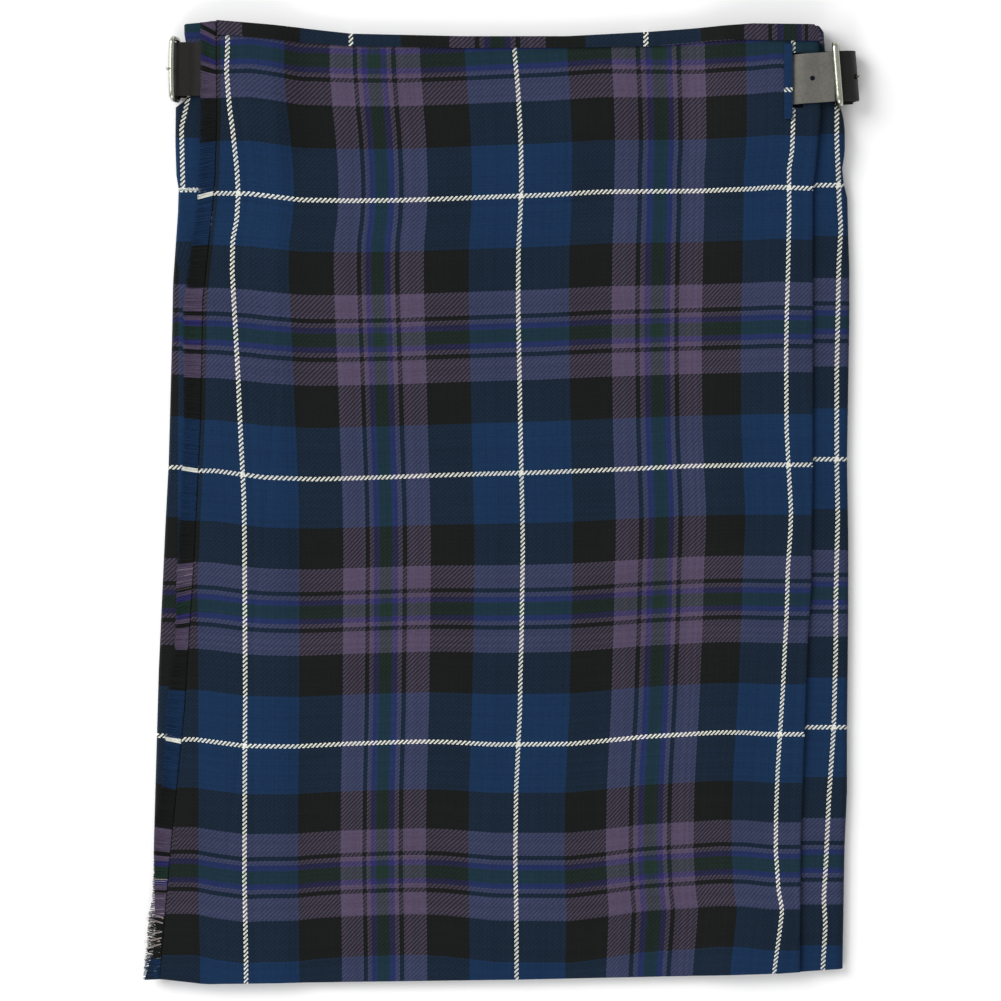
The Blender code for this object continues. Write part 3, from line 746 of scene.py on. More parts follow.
def tartan_cloth(name):
    finish, tree, node = new_finish(name, 0.92)
    across, down, _ = split(tree, add(tree, "ShaderNodeUVMap", uv_map="sett").outputs[0])
    warp = group_node(tree, yarn_group, Place=across, Unevenness=UNEVENNESS)
    weft = group_node(tree, yarn_group, Place=down, Unevenness=UNEVENNESS)
    twill = group_node(tree, twill_group, Across=across, Down=down)
    crisp = maths(tree, "MINIMUM", maths(tree, "ADD", warp.outputs[1], weft.outputs[1]), 1.0)
    lean = maths(tree, "SUBTRACT", twill.outputs[0], 0.5)
    share = maths(tree, "MULTIPLY_ADD", lean, crisp, 0.5)
    weft_seen = power(tree, weft.outputs[0], 1.0 / SCREEN)
    warp_seen = power(tree, warp.outputs[0], 1.0 / SCREEN)
    woven = power(tree, mix(tree, share, weft_seen, warp_seen), SCREEN)
    # Painted shade: each yarn's colour is lightened on its crown and darkened at its sides, as if lit
    # across its roundness.
    crown = remap(tree, twill.outputs[1], 0.0, 1.0, 0.85, 1.1)
    woven = shade(tree, woven, crown)
    along = combine(tree, *(maths(tree, "MULTIPLY", part, SETT_YARNS) for part in (across, down)))
    mottle = remap(tree, noise(tree, along, 0.35, 3.0, 0.6), 0.25, 0.75, 1.0 - NAP, 1.0 + NAP)
    woven = shade(tree, woven, mottle)
    # Painted shade: broad lighter and darker patches across the cloth stand in for the uneven light over
    # its swells.
    broad_painted_shade = remap(tree, noise(tree, along, 0.012, 2.0, 0.5), 0.3, 0.7, 0.93, 1.07)
    feed(tree, node, Sheen_Weight=0.02, Sheen_Roughness=0.6, Specular_IOR_Level=0.08)
    feed(tree, node, Base_Color=shade(tree, woven, broad_painted_shade), Normal=bump(tree, twill.outputs[1], 0.5, 0.16))
    return finish


TARTAN = tartan_cloth("tartan cloth")
BAND_TARTAN = tartan_cloth("tartan band cloth")
print("made", TARTAN.name, "and", BAND_TARTAN.name)

# %% [markdown]
# ## The over apron
# The outermost panel: from its fringed free edge across the whole front to the fold at the left
# hip, where it turns under as the deep pleat. A slit near that fold lets the strap come out. The
# grid has lines exactly at the slit's ends, so that leaving out its cells cuts a clean opening.

# %% Over apron
SLIT = (184.0, 193.4)
SLIT_ROWS = (289.0, 253.3)
# The slanting crease lies between -178 and -138, so the columns stand closer there
CREASE_COLUMNS = [-177.0 + 1.5 * i for i in range(27)]
OVER_COLUMNS = (*CREASE_COLUMNS, -122, -110, -60, 0, 60, 110, 122, 147, 165)
# A dark edge where the fringe is stitched on: its width, and its warp's place in the tartan
STITCHED = 2.2
STITCHED_WARP = -1.25
FELL_ROWS = [198.0 + 0.6 * i for i in range(13)]
FOLD_COLUMNS = (178.0, *SLIT)
FOLD_CLEAR = 3.5


def over_line(row):
    """The folded line of the over apron on one row, without the height of what is under it."""
    fold = read(APRON_FOLD_EDGE, row) - CLOTH / 2
    moved = min(0.0, fold - FOLD_CLEAR - FOLD_COLUMNS[-1])
    edge = free_edge(row)
    xs = [edge, edge + STITCHED, edge + STITCHED + 0.4]
    xs += [*OVER_COLUMNS, *(x + moved for x in FOLD_COLUMNS)]
    line = [(float(x), 0.0) for x in xs]
    depth = over_z(fold, row) - (UNDER_Z + SIDE_RISE + lift(fold, row))
    radius = depth / 2
    line += turn(fold - radius, -radius, radius, 90, -90, 6)
    line += [(x, -depth) for x in (180.0, 165.0, UNDERLAY_SEAM + GAP)]
    return line


def fold_index(lines):
    """The column at which each folded line reaches furthest across."""
    return max(range(len(lines[0])), key=lambda k: lines[len(lines) // 2][k][0])


over_rows = fine_rows(4.0, (*SLIT_ROWS, *FELL_ROWS))
over_lines = divide([over_line(row) for row in over_rows], 5.0)
outermost = fold_index(over_lines)
over_grid, over_uvs = [], []
for row, line in zip(over_rows, over_lines):
    points, uvs = [], []
    for k, (x, z) in enumerate(line):
        y = height_up(x, row, BAND_INSET)
        fades = soft_step((262.0, 240.0), row) if row > 240 else 1.0
        top = k <= outermost
        base = over_z(x, row) if top else UNDER_Z + SIDE_RISE + lift(x, row) + line[k][1] - line[-1][1]
        raised = crease(x, y) * fades if top and x < 198 else 0.0
        near_fold = soft_step((200.0, 190.0), x)
        height = base + (line[k][1] if top else 0.0) + raised * near_fold
        points.append((x, y, height))
        u, v = over_apron_tartan(x, y)
        if k > outermost:
            u = over_apron_tartan(line[outermost][0], y)[0] + (line[outermost][0] - x) / SETT
        if x - line[0][0] < STITCHED + 0.1 and top:
            u = STITCHED_WARP + (x - line[0][0]) / SETT
        uvs.append((u, v))
    over_grid.append(points)
    over_uvs.append(uvs)
first_row, last_row = (over_rows.index(row) for row in SLIT_ROWS)
slit_xs = [round(x, 3) for x, _ in over_lines[first_row]]
slit_columns = range(slit_xs.index(SLIT[0]), slit_xs.index(SLIT[1]))
slit_cells = {(r, c) for r in range(first_row, last_row) for c in slit_columns}
over_apron = cloth_shell("over_apron_cloth", over_grid, over_uvs, CLOTH, TARTAN, slit_cells)

# %% [markdown]
# ## The under apron, the left hip and the pleats
# These lie below. Of the under apron a strip shows at the picture's left, of the hip panel one at
# the right, and the pleats are the whole back. Knife pleats are pressed flat: each face lies on
# the table, goes back under the next, and comes forward again.

# %% Under apron
def under_line(row):
    side = read(RIGHT_HIP_EDGE, row) + CLOTH / 2
    tuck = side + RIGHT_HIP_TUCK
    radius = STEP / 2
    top = UNDER_Z + SIDE_RISE
    hip = (UNDER_Z - PLEAT_Z) / 2
    line = [(x, UNDER_Z) for x in (UNDER_APRON_END, 147.0, 122.0, 110.0, 60.0, 0.0, -60.0, -110.0)]
    line += [(-SIDE_RAMP[0], UNDER_Z), (-SIDE_RAMP[1], top), (-165.0, top), (-182.0, top)]
    line += turn(tuck + radius, top - radius, radius, 90, 270, 6)
    line += [(-165.0, top - STEP)]
    line += turn(-INNER_FOLD, UNDER_Z + radius, radius, 90, -90, 4)
    line += [(-165.0, UNDER_Z), (-182.0, UNDER_Z)]
    line += turn(side + hip, PLEAT_Z + hip, hip, 90, 270, 8)
    line.append((pleats_span(row)[0] - GAP, PLEAT_Z))
    return line


def lay_panel(name, rows, line_of_row, longest, inset, tartan):
    """A panel whose UV runs along the cloth, starting from where the tartan function puts it."""
    lines = divide([line_of_row(row) for row in rows], longest)
    grid, uvs = [], []
    for row, line in zip(rows, lines):
        y_of = [height_up(x, row, inset) for x, _ in line]
        grid.append([(x, y, z + lift(x, row)) for (x, z), y in zip(line, y_of)])
        uvs.append([tartan(x, y) for (x, _), y in zip(line, y_of)])
    return cloth_shell(name, grid, uvs, CLOTH, TARTAN)


LINE_ROWS = [201.5 - 0.5 * i for i in range(7)]
under_rows = fine_rows(6.0, (258.0, 253.0, *LINE_ROWS))
under_apron = lay_panel(
    "under_apron_cloth", under_rows, under_line, 8.0, UNDER_INSET, under_apron_tartan
)


# %% Left hip panel
def hip_line(row):
    side = read(LEFT_HIP_EDGE, row) - CLOTH / 2
    top = UNDER_Z + STEP
    hip = (top - PLEAT_Z) / 2
    radius = STEP / 2
    line = [(pleats_span(row)[1] + GAP, PLEAT_Z)]
    line += turn(side - hip, PLEAT_Z + hip, hip, -90, 90, 10)
    line += [(188.0, top), (165.0, top)]
    line += turn(INNER_FOLD, top + radius, radius, 270, 90, 4)
    line.append((UNDERLAY_SEAM, top + STEP))
    return line


hip_rows = fine_rows(4.0, (264.5, 260.7))
left_hip = lay_panel("left_hip_cloth", hip_rows, hip_line, 5.0, UNDER_INSET, hip_tartan)


# %% Back pleats
def pleat_line(row):
    left, right = pleats_span(row)
    pitch = (right - left - LAST_FACE) / PLEAT_COUNT
    radius = STEP / 2
    low = PLEAT_Z
    line = [(left, low)]
    for i in range(PLEAT_COUNT):
        edge = left + (i + 1) * pitch
        centre = edge - CLOTH / 2 - radius
        line += [(centre, low), (centre + 0.7 * radius, low + 0.3 * radius)]
        line += [(centre + radius, low + radius), (centre + 0.7 * radius, low + 1.7 * radius)]
        line += [(centre, low + STEP), (edge - PLEAT_DEPTH, low + STEP)]
        line += [(edge - PLEAT_DEPTH, low + 2 * STEP), (edge - 0.2, low + 2 * STEP)]
        line += [(edge + PLEAT_SLOPE, low)]
    line.append((right, low))
    return line


pleat_rows = fine_rows(9.0, (270.0, 246.0, 190.0))
back_pleats = lay_panel("back_pleats_cloth", pleat_rows, pleat_line, 7.0, BAND_INSET, back_tartan)

# %% [markdown]
# ## The bands at the waist
# A narrow band of the same cloth binds the top edge. It lies on the apron, turns over the waist
# and comes down in front of the cut edges. It was cut from another part of the cloth, so its
# stripes stand beside those of the apron and not in line with them.

# %% Band on the apron
# Where the stripes of the band's warp stand: pixel across, yarns from its first white line
BAND_STRIPES = (
    (180, -137), (217, -106), (243, -83.6), (300, -46.1), (351, 0), (401, 46.1), (449, 83.6),
    (546, 164.4), (585, 201.9), (646, 248), (701, 294.1), (743, 331.6), (768, 353), (771, 357),
    (783, 366), (797, 378), (804, 387), (807, 391), (822, 410), (840, 430),
)
# The weft: black, with a thread of mauve along a stretch of the lower edge
BAND_WEFT = 0.334
MAUVE_EDGE = (640.0, 668.0, 729.0, 745.0)
MAUVE_RISE = 0.0065
BAND_LOWER_EDGE = (
    # across and up, in millimetres
    (-173, 298.2), (-138.6, 295), (-95.7, 291.8), (-24.6, 290.6), (56.6, 290.9),
    (99.5, 291.8), (132.8, 294.4), (156.5, 295.2), (185.3, 294.6), (204, 294.4), (208, 294.4),
)
BAND_TURN = 0.7
# The top edge drops in a curve between these places, as the corner is rounded: how fast
CORNER_DROP = 0.16
CORNER_DROP_PLACES = (199.0, 203.6)


def band_tartan(x, up):
    across, _ = pixel_from_drawing(x, 0.0)
    edge = soft_step(MAUVE_EDGE[:2], across) * (1 - soft_step(MAUVE_EDGE[2:], across))
    return read(BAND_STRIPES, across) / SETT_YARNS, BAND_WEFT + MAUVE_RISE * edge - up / SETT


def band_rows(x, top_y, low_y, height, lip_height):
    """The band's line from its lower edge, up over the waist and down (or up) along the lip."""
    run = [(low_y + (top_y - BAND_TURN - low_y) * i / 3, height) for i in range(4)]
    sign = math.copysign(1.0, lip_height - height)
    for angle in (30, 60, 90):
        part = math.radians(angle)
        up = top_y - BAND_TURN + BAND_TURN * math.sin(part)
        run.append((up, height + sign * BAND_TURN * (1 - math.cos(part))))
    run.append((top_y, lip_height))
    return run


def even_places(start, end, spacing):
    count = max(1, round((end - start) / spacing))
    return [start + (end - start) * i / count for i in range(count + 1)]


band_xs = even_places(free_edge(WAIST_ROW), BAND_END, 3.0)
columns = []
for x in band_xs:
    top = height_up(x, WAIST_ROW, BAND_CLOTH / 2)
    drops = [CORNER_DROP * max(0.0, x - place) ** 2 for place in CORNER_DROP_PLACES]
    top -= drops[0] - drops[1]
    height = over_z(x, WAIST_ROW) + STEP
    lip = over_z(x, WAIST_ROW) - CLOTH / 2
    low = min(read(BAND_LOWER_EDGE, x), top - 3.0)
    columns.append(band_rows(x, top, low, height, lip))
band_grid = [[(x, *column[k]) for x, column in zip(band_xs, columns)] for k in range(len(columns[0]))]
band_uvs = [
    [band_tartan(point[0], math.dist(point[1:], low[1:])) for point, low in zip(line, band_grid[0])]
    for line in band_grid
]
over_band = cloth_shell("over_apron_band_cloth", band_grid, band_uvs, BAND_CLOTH, BAND_TARTAN)

# %% Band on the back
BACK_BAND_FOOT = 288.0
left, right = pleats_span(WAIST_ROW)
back_xs = even_places(left, right, 5.0)
columns = []
for x in back_xs:
    low = height_up(x, BAND_ROW, BAND_INSET)
    top = height_up(x, WAIST_ROW, BAND_CLOTH / 2)
    height = PLEAT_Z + lift(x, WAIST_ROW) - STEP
    columns.append(band_rows(x, top, low, height, height + 3 * STEP + CLOTH / 2))
back_grid = [[(x, *column[k]) for x, column in zip(back_xs, columns)] for k in range(len(columns[0]))]
back_uvs = [[band_tartan(x, y - BACK_BAND_FOOT) for x, y, _ in line] for line in back_grid]
back_band = cloth_shell("back_band_cloth", back_grid, back_uvs, BAND_CLOTH, BAND_TARTAN)

# %% Cloth strip beside the slit
BINDING = (181.0, 186.4)
BINDING_ROWS = (294.5, 246.0)
# The pixel row of its white line, and its warp's place in the tartan at the left edge
BINDING_WHITE = 91.0
BINDING_WARP = 0.11
binding_grid, binding_uvs = [], []
for row in even_places(BINDING_ROWS[1], BINDING_ROWS[0], 3.0)[::-1]:
    line, uvs = [], []
    for x in even_places(BINDING[0], BINDING[1], 0.9):
        y = height_up(x, row, BAND_INSET)
        _, down = pixel_from_drawing(x, y)
        line.append((x, y, over_z(x, row) + STEP))
        uvs.append((BINDING_WARP - (x - BINDING[0]) / SETT, (down - BINDING_WHITE) / SETT_PIXELS))
    binding_grid.append(line)
    binding_uvs.append(uvs)
binding = cloth_shell("slit_binding_cloth", binding_grid, binding_uvs, CLOTH, BAND_TARTAN)

# %% [markdown]
# ## The fringe
# A narrow strip of the cloth is sewn along the free edge, and its warp has been pulled out, so
# the loose weft ends lie side by side to the left, in the colour that the weft has there. There
# are three plies at every yarn, far too many to place by hand. A line of points gives each
# thread its root, its reach and its place in the tartan, and Geometry Nodes grow a thin bent
# tube on each.

# %% Strip of the fringe
FRINGE_CLOTH = 0.9
# The strip is wider at the hem, where its corner is still woven. Height up the kilt, width
STRIP_WIDTH = ((-306, 9.5), (-292, 6.5), (-286, 4.0), (306, 4.0))
STRIP_WARP = 0.25
FRINGE_PLACE = 210.0


def strip_point(x, row):
    return x, height_up(x, row, UNDER_INSET), over_z(min(x, -CORNER_RAMP[1]), row)


strip_rows = fine_rows(3.0)
strip_grid, strip_uvs = [], []
for row in strip_rows:
    inner = free_edge(row) - GAP
    width = read(STRIP_WIDTH, row)
    line = [strip_point(inner - width * i / 4, row) for i in range(4, -1, -1)]
    strip_grid.append(line)
    downs = [pixel_from_drawing(x, y)[1] for x, y, _ in line]
    strip_uvs.append([(STRIP_WARP, tartan_down(FRINGE_PLACE, down)) for down in downs])
fringe_strip = cloth_shell("fringe_strip", strip_grid, strip_uvs, FRINGE_CLOTH, BAND_TARTAN)


# %% Geometry Nodes tree: threads
def thread_tree():
    """Grows one bent, tapered tube on every point, along its own reach."""
    tree = bpy.data.node_groups.new("loose threads", "GeometryNodeTree")
    sizes = (
        ("Thread radius", "NodeSocketFloat", 0.0002),
        ("Stray", "NodeSocketFloat", 0.001),
        ("Curl scale", "NodeSocketFloat", 260.0),
        ("Bends", "NodeSocketInt", 6),
        ("Sides", "NodeSocketInt", 3),
        ("Tip", "NodeSocketFloat", 0.35),
        ("Seed", "NodeSocketFloat", 4.0),
        ("Finish", "NodeSocketMaterial", None),
    )
    tree.interface.new_socket("Geometry", in_out="INPUT", socket_type="NodeSocketGeometry")
    for title, kind, value in sizes:
        socket = tree.interface.new_socket(title, in_out="INPUT", socket_type=kind)
        if value is not None:
            socket.default_value = value
    tree.interface.new_socket("Geometry", in_out="OUTPUT", socket_type="NodeSocketGeometry")
    start = tree.nodes.new("NodeGroupInput")
    end = tree.nodes.new("NodeGroupOutput")
    given = start.outputs
    roots = add(tree, "GeometryNodeMeshToPoints", ("Mesh", given["Geometry"]))
    reach_wires = ("Name", "reach")
    reach = add(tree, "GeometryNodeInputNamedAttribute", reach_wires, data_type="FLOAT_VECTOR").outputs[0]
    turned = add(tree, "FunctionNodeAlignRotationToVector", ("Vector", reach), axis="X")
    length = add(tree, "ShaderNodeVectorMath", (0, reach), operation="LENGTH")
    straight = add(tree, "GeometryNodeCurvePrimitiveLine", ("End", (1.0, 0.0, 0.0)))
    bent_wires = ("Curve", straight.outputs[0]), ("Count", given["Bends"])
    bent = add(tree, "GeometryNodeResampleCurve", *bent_wires)
    placed_wires = (
        ("Points", roots.outputs[0]),
        ("Instance", bent.outputs[0]),
        ("Rotation", turned.outputs[0]),
        ("Scale", combine(tree, length.outputs["Value"], 1.0, 1.0)),
    )
    placed = add(tree, "GeometryNodeInstanceOnPoints", *placed_wires)
    real = add(tree, "GeometryNodeRealizeInstances", (0, placed.outputs[0]))
    wave_wires = (
        ("W", given["Seed"]),
        ("Scale", given["Curl scale"]),
        ("Detail", 1.0),
        ("Vector", add(tree, "GeometryNodeInputPosition").outputs[0]),
    )
    waves = add(tree, "ShaderNodeTexNoise", *wave_wires, noise_dimensions="4D")
    even_wires = (0, waves.outputs["Color"]), (1, (0.5, 0.5, 0.5))
    even_waves = add(tree, "ShaderNodeVectorMath", *even_wires, operation="SUBTRACT")
    along = add(tree, "GeometryNodeSplineParameter").outputs["Factor"]
    grows = maths(tree, "MULTIPLY", maths(tree, "POWER", along, 1.3), 2.0)
    offset_wires = (0, even_waves.outputs[0]), ("Scale", maths(tree, "MULTIPLY", grows, given["Stray"]))
    offset = add(tree, "ShaderNodeVectorMath", *offset_wires, operation="SCALE")
    moved_wires = ("Geometry", real.outputs[0]), ("Offset", offset.outputs[0])
    moved = add(tree, "GeometryNodeSetPosition", *moved_wires)
    ring_wires = ("Resolution", given["Sides"]), ("Radius", given["Thread radius"])
    ring = add(tree, "GeometryNodeCurvePrimitiveCircle", *ring_wires)
    thin = maths(tree, "MULTIPLY", along, maths(tree, "SUBTRACT", 1.0, given["Tip"]))
    tube_wires = (
        ("Curve", moved.outputs[0]),
        ("Profile Curve", ring.outputs["Curve"]),
        ("Scale", maths(tree, "SUBTRACT", 1.0, thin)),
        ("Fill Caps", True),
    )
    tube = add(tree, "GeometryNodeCurveToMesh", *tube_wires)
    plain = add(tree, "GeometryNodeRealizeInstances", (0, tube.outputs[0]))
    painted_wires = ("Geometry", plain.outputs[0]), ("Material", given["Finish"])
    painted = add(tree, "GeometryNodeSetMaterial", *painted_wires)
    tree.links.new(painted.outputs[0], end.inputs[0])
    return tree


THREADS = thread_tree()
print("tree", THREADS.name, "with", len(THREADS.nodes), "nodes")


# %% Growing threads on a list of roots
def grow(name, roots, finish, **sizes):
    """Roots are rows of a place, a reach and a place in the tartan, all in millimetres."""
    guide = bpy.data.meshes.new(name)
    guide.from_pydata([at(row[0]) for row in roots], [], [])
    reach = guide.attributes.new("reach", "FLOAT_VECTOR", "POINT")
    reach.data.foreach_set("vector", [c * MM for row in roots for c in row[1]])
    tone = guide.attributes.new("tone", "FLOAT_VECTOR", "POINT")
    tone.data.foreach_set("vector", [c for row in roots for c in row[2]])
    piece = bpy.data.objects.new(name, guide)
    bpy.context.scene.collection.objects.link(piece)
    nodes = piece.modifiers.new("threads", "NODES")
    nodes.node_group = THREADS
    found = {
        item.name: item.identifier
        for item in THREADS.interface.items_tree
        if item.item_type == "SOCKET" and item.in_out == "INPUT"
    }
    nodes[found["Finish"]] = finish
    for title, value in sizes.items():
        nodes[found[title.replace("_", " ")]] = value
    bake(piece, 80.0)
    print(name, len(roots), "threads,", count_triangles(piece), "triangles")
    return piece


# %% Material: loose yarn
def loose_yarn(name):
    """Takes its colour from the tartan, by the place that each thread carries, or runs pale towards cream
    as a painted highlight.
    """
    finish, tree, node = new_finish(name, 0.95)
    carried = add(tree, "ShaderNodeAttribute", attribute_name="tone")
    place, pale, bright = split(tree, carried.outputs["Vector"])
    yarn = group_node(tree, yarn_group, Place=place, Unevenness=0.1)
    # Painted highlight: threads marked pale are mixed towards cream.
    lighter = mix(tree, pale, yarn.outputs[0], from_screen(196, 184, 178))
    spot = object_place(tree)
    fibres = remap(tree, noise(tree, spot, 900.0, 2.0), 0.3, 0.7, 0.82, 1.18)
    toned = shade(tree, shade(tree, lighter, bright), fibres)
    fuzz = bump(tree, noise(tree, spot, 1400.0, 2.0), 0.3, 0.1)
    feed(tree, node, Specular_IOR_Level=0.15, Base_Color=toned, Normal=fuzz)
    return finish


FRINGE_YARN = loose_yarn("loose yarn")

# %% Threads of the fringe
PLIES = 3
# Share of threads made pale towards cream as painted highlights, by the height up the kilt
CREAM_HIGHLIGHT_SHARE = (
    (-306, 0.02), (-290, 0.04), (-285, 0.12), (-266, 0.1), (-262, 0.06), (-240, 0.05), (-235, 0),
    (-54, 0), (-52, 0.14), (-42, 0.14), (-40, 0), (306, 0),
)
# How pale those painted highlights are there
CREAM_HIGHLIGHT_TONE = ((-306, 0.4), (-266, 0.4), (-232, 0.45), (-60, 0.2), (306, 0.2))
# How far a thread's tip lies above its root, by the height up the kilt
TIP_RISE = (
    (-306, -1.2), (-290, -1), (-235, 0.4), (-205, 1.8), (-148, 1.8), (-90, 0), (-62, -2.4),
    (-45, -2.2), (-30, 0), (20, 1.4), (160, -0.3), (197, -2.4), (235, -1.2), (258, 0), (285, 5),
    (306, 5),
)
LOOSE_ROWS = (-258.0, -272.0)
dice_box = np.random.default_rng(11)
packed_roots, loose_roots = [], []
thread_count = PLIES * int((WAIST_ROW - HEM_ROW) / (SETT / SETT_YARNS))
pace = (WAIST_ROW - HEM_ROW - 0.6) / thread_count
for k in range(thread_count):
    row = WAIST_ROW - 0.3 - pace * (k + dice_box.uniform(-0.4, 0.4))
    loose = soft_step(LOOSE_ROWS, row)
    root_x = free_edge(row) - GAP - dice_box.uniform(0.0, 0.7 + 1.5 * loose)
    tip_x = read(FRINGE_TIPS, row) + abs(dice_box.normal(0.0, 0.5 + 0.9 * loose)) - 0.3
    slant = read(TIP_RISE, row) + dice_box.normal(0.0, 0.12 + 1.3 * loose)
    drop = dice_box.uniform(0.0, 0.5) + 1.6 * loose * dice_box.uniform(0.2, 1.0)
    x, y, z = strip_point(root_x, row)
    y = min(y, height_up(x, WAIST_ROW, UNDER_INSET) - 0.3)
    _, down = pixel_from_drawing(x, y)
    # Painted highlight: a share of the threads is made pale towards cream.
    pale = read(CREAM_HIGHLIGHT_TONE, row) * dice_box.uniform(0.7, 1.6)
    pale = min(pale, 1.0) if dice_box.uniform() < read(CREAM_HIGHLIGHT_SHARE, row) else 0.0
    end_y = min(max(y + slant, height_up(tip_x, HEM_ROW) + 0.2), height_up(tip_x, WAIST_ROW) - 0.9)
    root = (
        (x, y, z + FRINGE_CLOTH / 2 + dice_box.uniform(0.1, 0.4)),
        (tip_x - x, end_y - y, -drop),
        (tartan_down(FRINGE_PLACE, down), pale, dice_box.uniform(0.84, 1.2)),
    )
    (loose_roots if loose > 0.5 else packed_roots).append(root)
    if loose > 0.5:
        turned_back = root[1][1] + dice_box.normal(1.2, 1.8)
        end_y = max(y + turned_back, height_up(tip_x, HEM_ROW) + 0.2)
        loose_roots.append((root[0], (tip_x - x, end_y - y, -drop), root[2]))

# %% A few thick ends that have come out further
CREAM_ENDS = (
    # row, reach to the left, rise of the tip
    (-266.5, 9, 2.5), (-270, 10.5, 3), (-275.5, 10, -2), (-279.5, 11, -2.5),
    (-283.5, 9.5, -2.5),
)
for row, reach, rise in CREAM_ENDS:
    x, y, z = strip_point(free_edge(row) - GAP - 0.8, row)
    # Painted highlight: these ends are made pale towards cream.
    tone = (tartan_down(FRINGE_PLACE, pixel_from_drawing(x, y)[1]), 0.55, 1.0)
    for twist in (-0.15, 0.15):
        loose_roots.append(((x, y + twist, z + 0.9), (-reach, rise + 3 * twist, -0.6), tone))
fringe_threads = grow(
    "fringe_threads", packed_roots, FRINGE_YARN, Thread_radius=0.00023, Stray=0.0005, Tip=0.7
)
loose_ends = grow(
    "loose_ends", loose_roots, FRINGE_YARN, Thread_radius=0.00023, Stray=0.0007, Tip=0.6
)

# %% [markdown]
# ## Leather
# Both straps are plain leather cut by machine, with a fine grain. The left one is nearly black.
# The right one is worn grey where it shows and black where it goes through the buckle. Their
# loops round the buckles' bars, called chapes, are the same black leather. The pieces follow the
# same lines as their CAD solids and have eased edges.

# %% Group: leather grain and wear
BLACK_HIDE = from_screen(27, 26, 25)
leather_group, leather_in, leather_out = new_group(
    "leather grain",
    [
        ("Place", "NodeSocketVector", (0.0, 0.0, 0.0)),
        ("Base", "NodeSocketColor", (0.02, 0.02, 0.02, 1.0)),
        ("Worn", "NodeSocketColor", (0.1, 0.1, 0.1, 1.0)),
        ("Wear", "NodeSocketFloat", 0.3),
        ("Dark", "NodeSocketFloat", 0.0),
    ],
    [("Color", "NodeSocketColor"), ("Roughness", "NodeSocketFloat"), ("Height", "NodeSocketFloat")],
)
cell_wires = ("Scale", 1300.0), ("Vector", leather_in.outputs[0])
cells = add(leather_group, "ShaderNodeTexVoronoi", *cell_wires, feature="DISTANCE_TO_EDGE")
pores = remap(leather_group, cells.outputs["Distance"], 0.0, 0.25, 0.0, 1.0)
cloudy = noise(leather_group, leather_in.outputs[0], 90.0, 4.0, 0.6)
scratched = noise(leather_group, leather_in.outputs[0], 600.0, 3.0, 0.6)
worn_mask = maths(
    leather_group, "MULTIPLY", remap(leather_group, cloudy, 0.35, 0.7, 0.0, 1.0), leather_in.outputs[3]
)
hide = mix(leather_group, worn_mask, leather_in.outputs[1], leather_in.outputs[2])
flecks = remap(leather_group, scratched, 0.3, 0.7, 0.86, 1.14)
hide = mix(leather_group, leather_in.outputs[4], shade(leather_group, hide, flecks), BLACK_HIDE)
polish = remap(leather_group, cloudy, 0.3, 0.7, 0.48, 0.66)
height = maths(leather_group, "MULTIPLY_ADD", scratched, 0.5, pores)
feed(leather_group, leather_out, Color=hide, Roughness=polish, Height=height)


def leather(name, base, worn, wear, dark_from=None):
    """Leather with its base and worn colours, which may turn black past a place across the kilt."""
    finish, tree, node = new_finish(name, 0.55)
    spot = object_place(tree)
    grain = group_node(tree, leather_group, Place=spot, Base=base, Worn=worn, Wear=wear)
    if dark_from is not None:
        start = (dark_from + PLACE[0]) * MM
        feed(tree, grain, Dark=remap(tree, split(tree, spot)[0], start, start + 0.8 * MM, 0.0, 1.0))
    feed(tree, node, Specular_IOR_Level=0.22, Base_Color=grain.outputs[0], Roughness=grain.outputs[1])
    feed(tree, node, Normal=bump(tree, grain.outputs[2], 0.35, 0.08))
    return finish


GREY_END = 212.8
BLACK_LEATHER = leather("black leather", from_screen(29, 28, 27), from_screen(38, 36, 34), 0.4)
GREY_LEATHER = leather(
    "worn grey leather", from_screen(90, 90, 85), from_screen(104, 101, 95), 0.8, GREY_END
)
print("leathers made")


# %% Smooth lines and straps
def smooth_path(points, parts=3):
    """A smooth line through the given points, by Catmull and Rom's rule."""
    ends = [points[0], *points, points[-1]]
    made = []
    for a, b, c, d in zip(ends, ends[1:], ends[2:], ends[3:]):
        for i in range(parts):
            t = i / parts
            spot = []
            for p, q, r, s in zip(a, b, c, d):
                cubic = (2 * p - 5 * q + 4 * r - s) * t * t + (3 * q - p - 3 * r + s) * t**3
                spot.append(0.5 * (2 * q + (r - p) * t + cubic))
            made.append(tuple(spot))
    made.append(points[-1])
    return made


def leather_wall(name, grid, thickness, finish, skip=(), ease=0.35):
    """A wall of leather with eased edges."""
    piece = wall_through(name, grid, thickness, finish, skip)
    eased = piece.modifiers.new("eased edges", "BEVEL")
    eased.width = ease * MM
    eased.segments = 2
    eased.limit_method = "ANGLE"
    eased.angle_limit = math.radians(60)
    return piece


def punch(piece, places):
    """Cuts round holes, each given as a centre, a direction across the leather and a radius."""
    for number, (centre, direction, radius) in enumerate(places):
        bpy.ops.mesh.primitive_cylinder_add(vertices=24, radius=radius * MM, depth=6.0 * MM)
        tool = bpy.context.object
        tool.location = at(centre)
        tool.rotation_euler = (0.0, math.atan2(direction[0], direction[1]), 0.0)
        cut = piece.modifiers.new("hole", "BOOLEAN")
        cut.operation = "DIFFERENCE"
        cut.solver = "EXACT"
        cut.object = tool
        bake(piece)
        bpy.data.objects.remove(tool, do_unlink=True)
    return piece


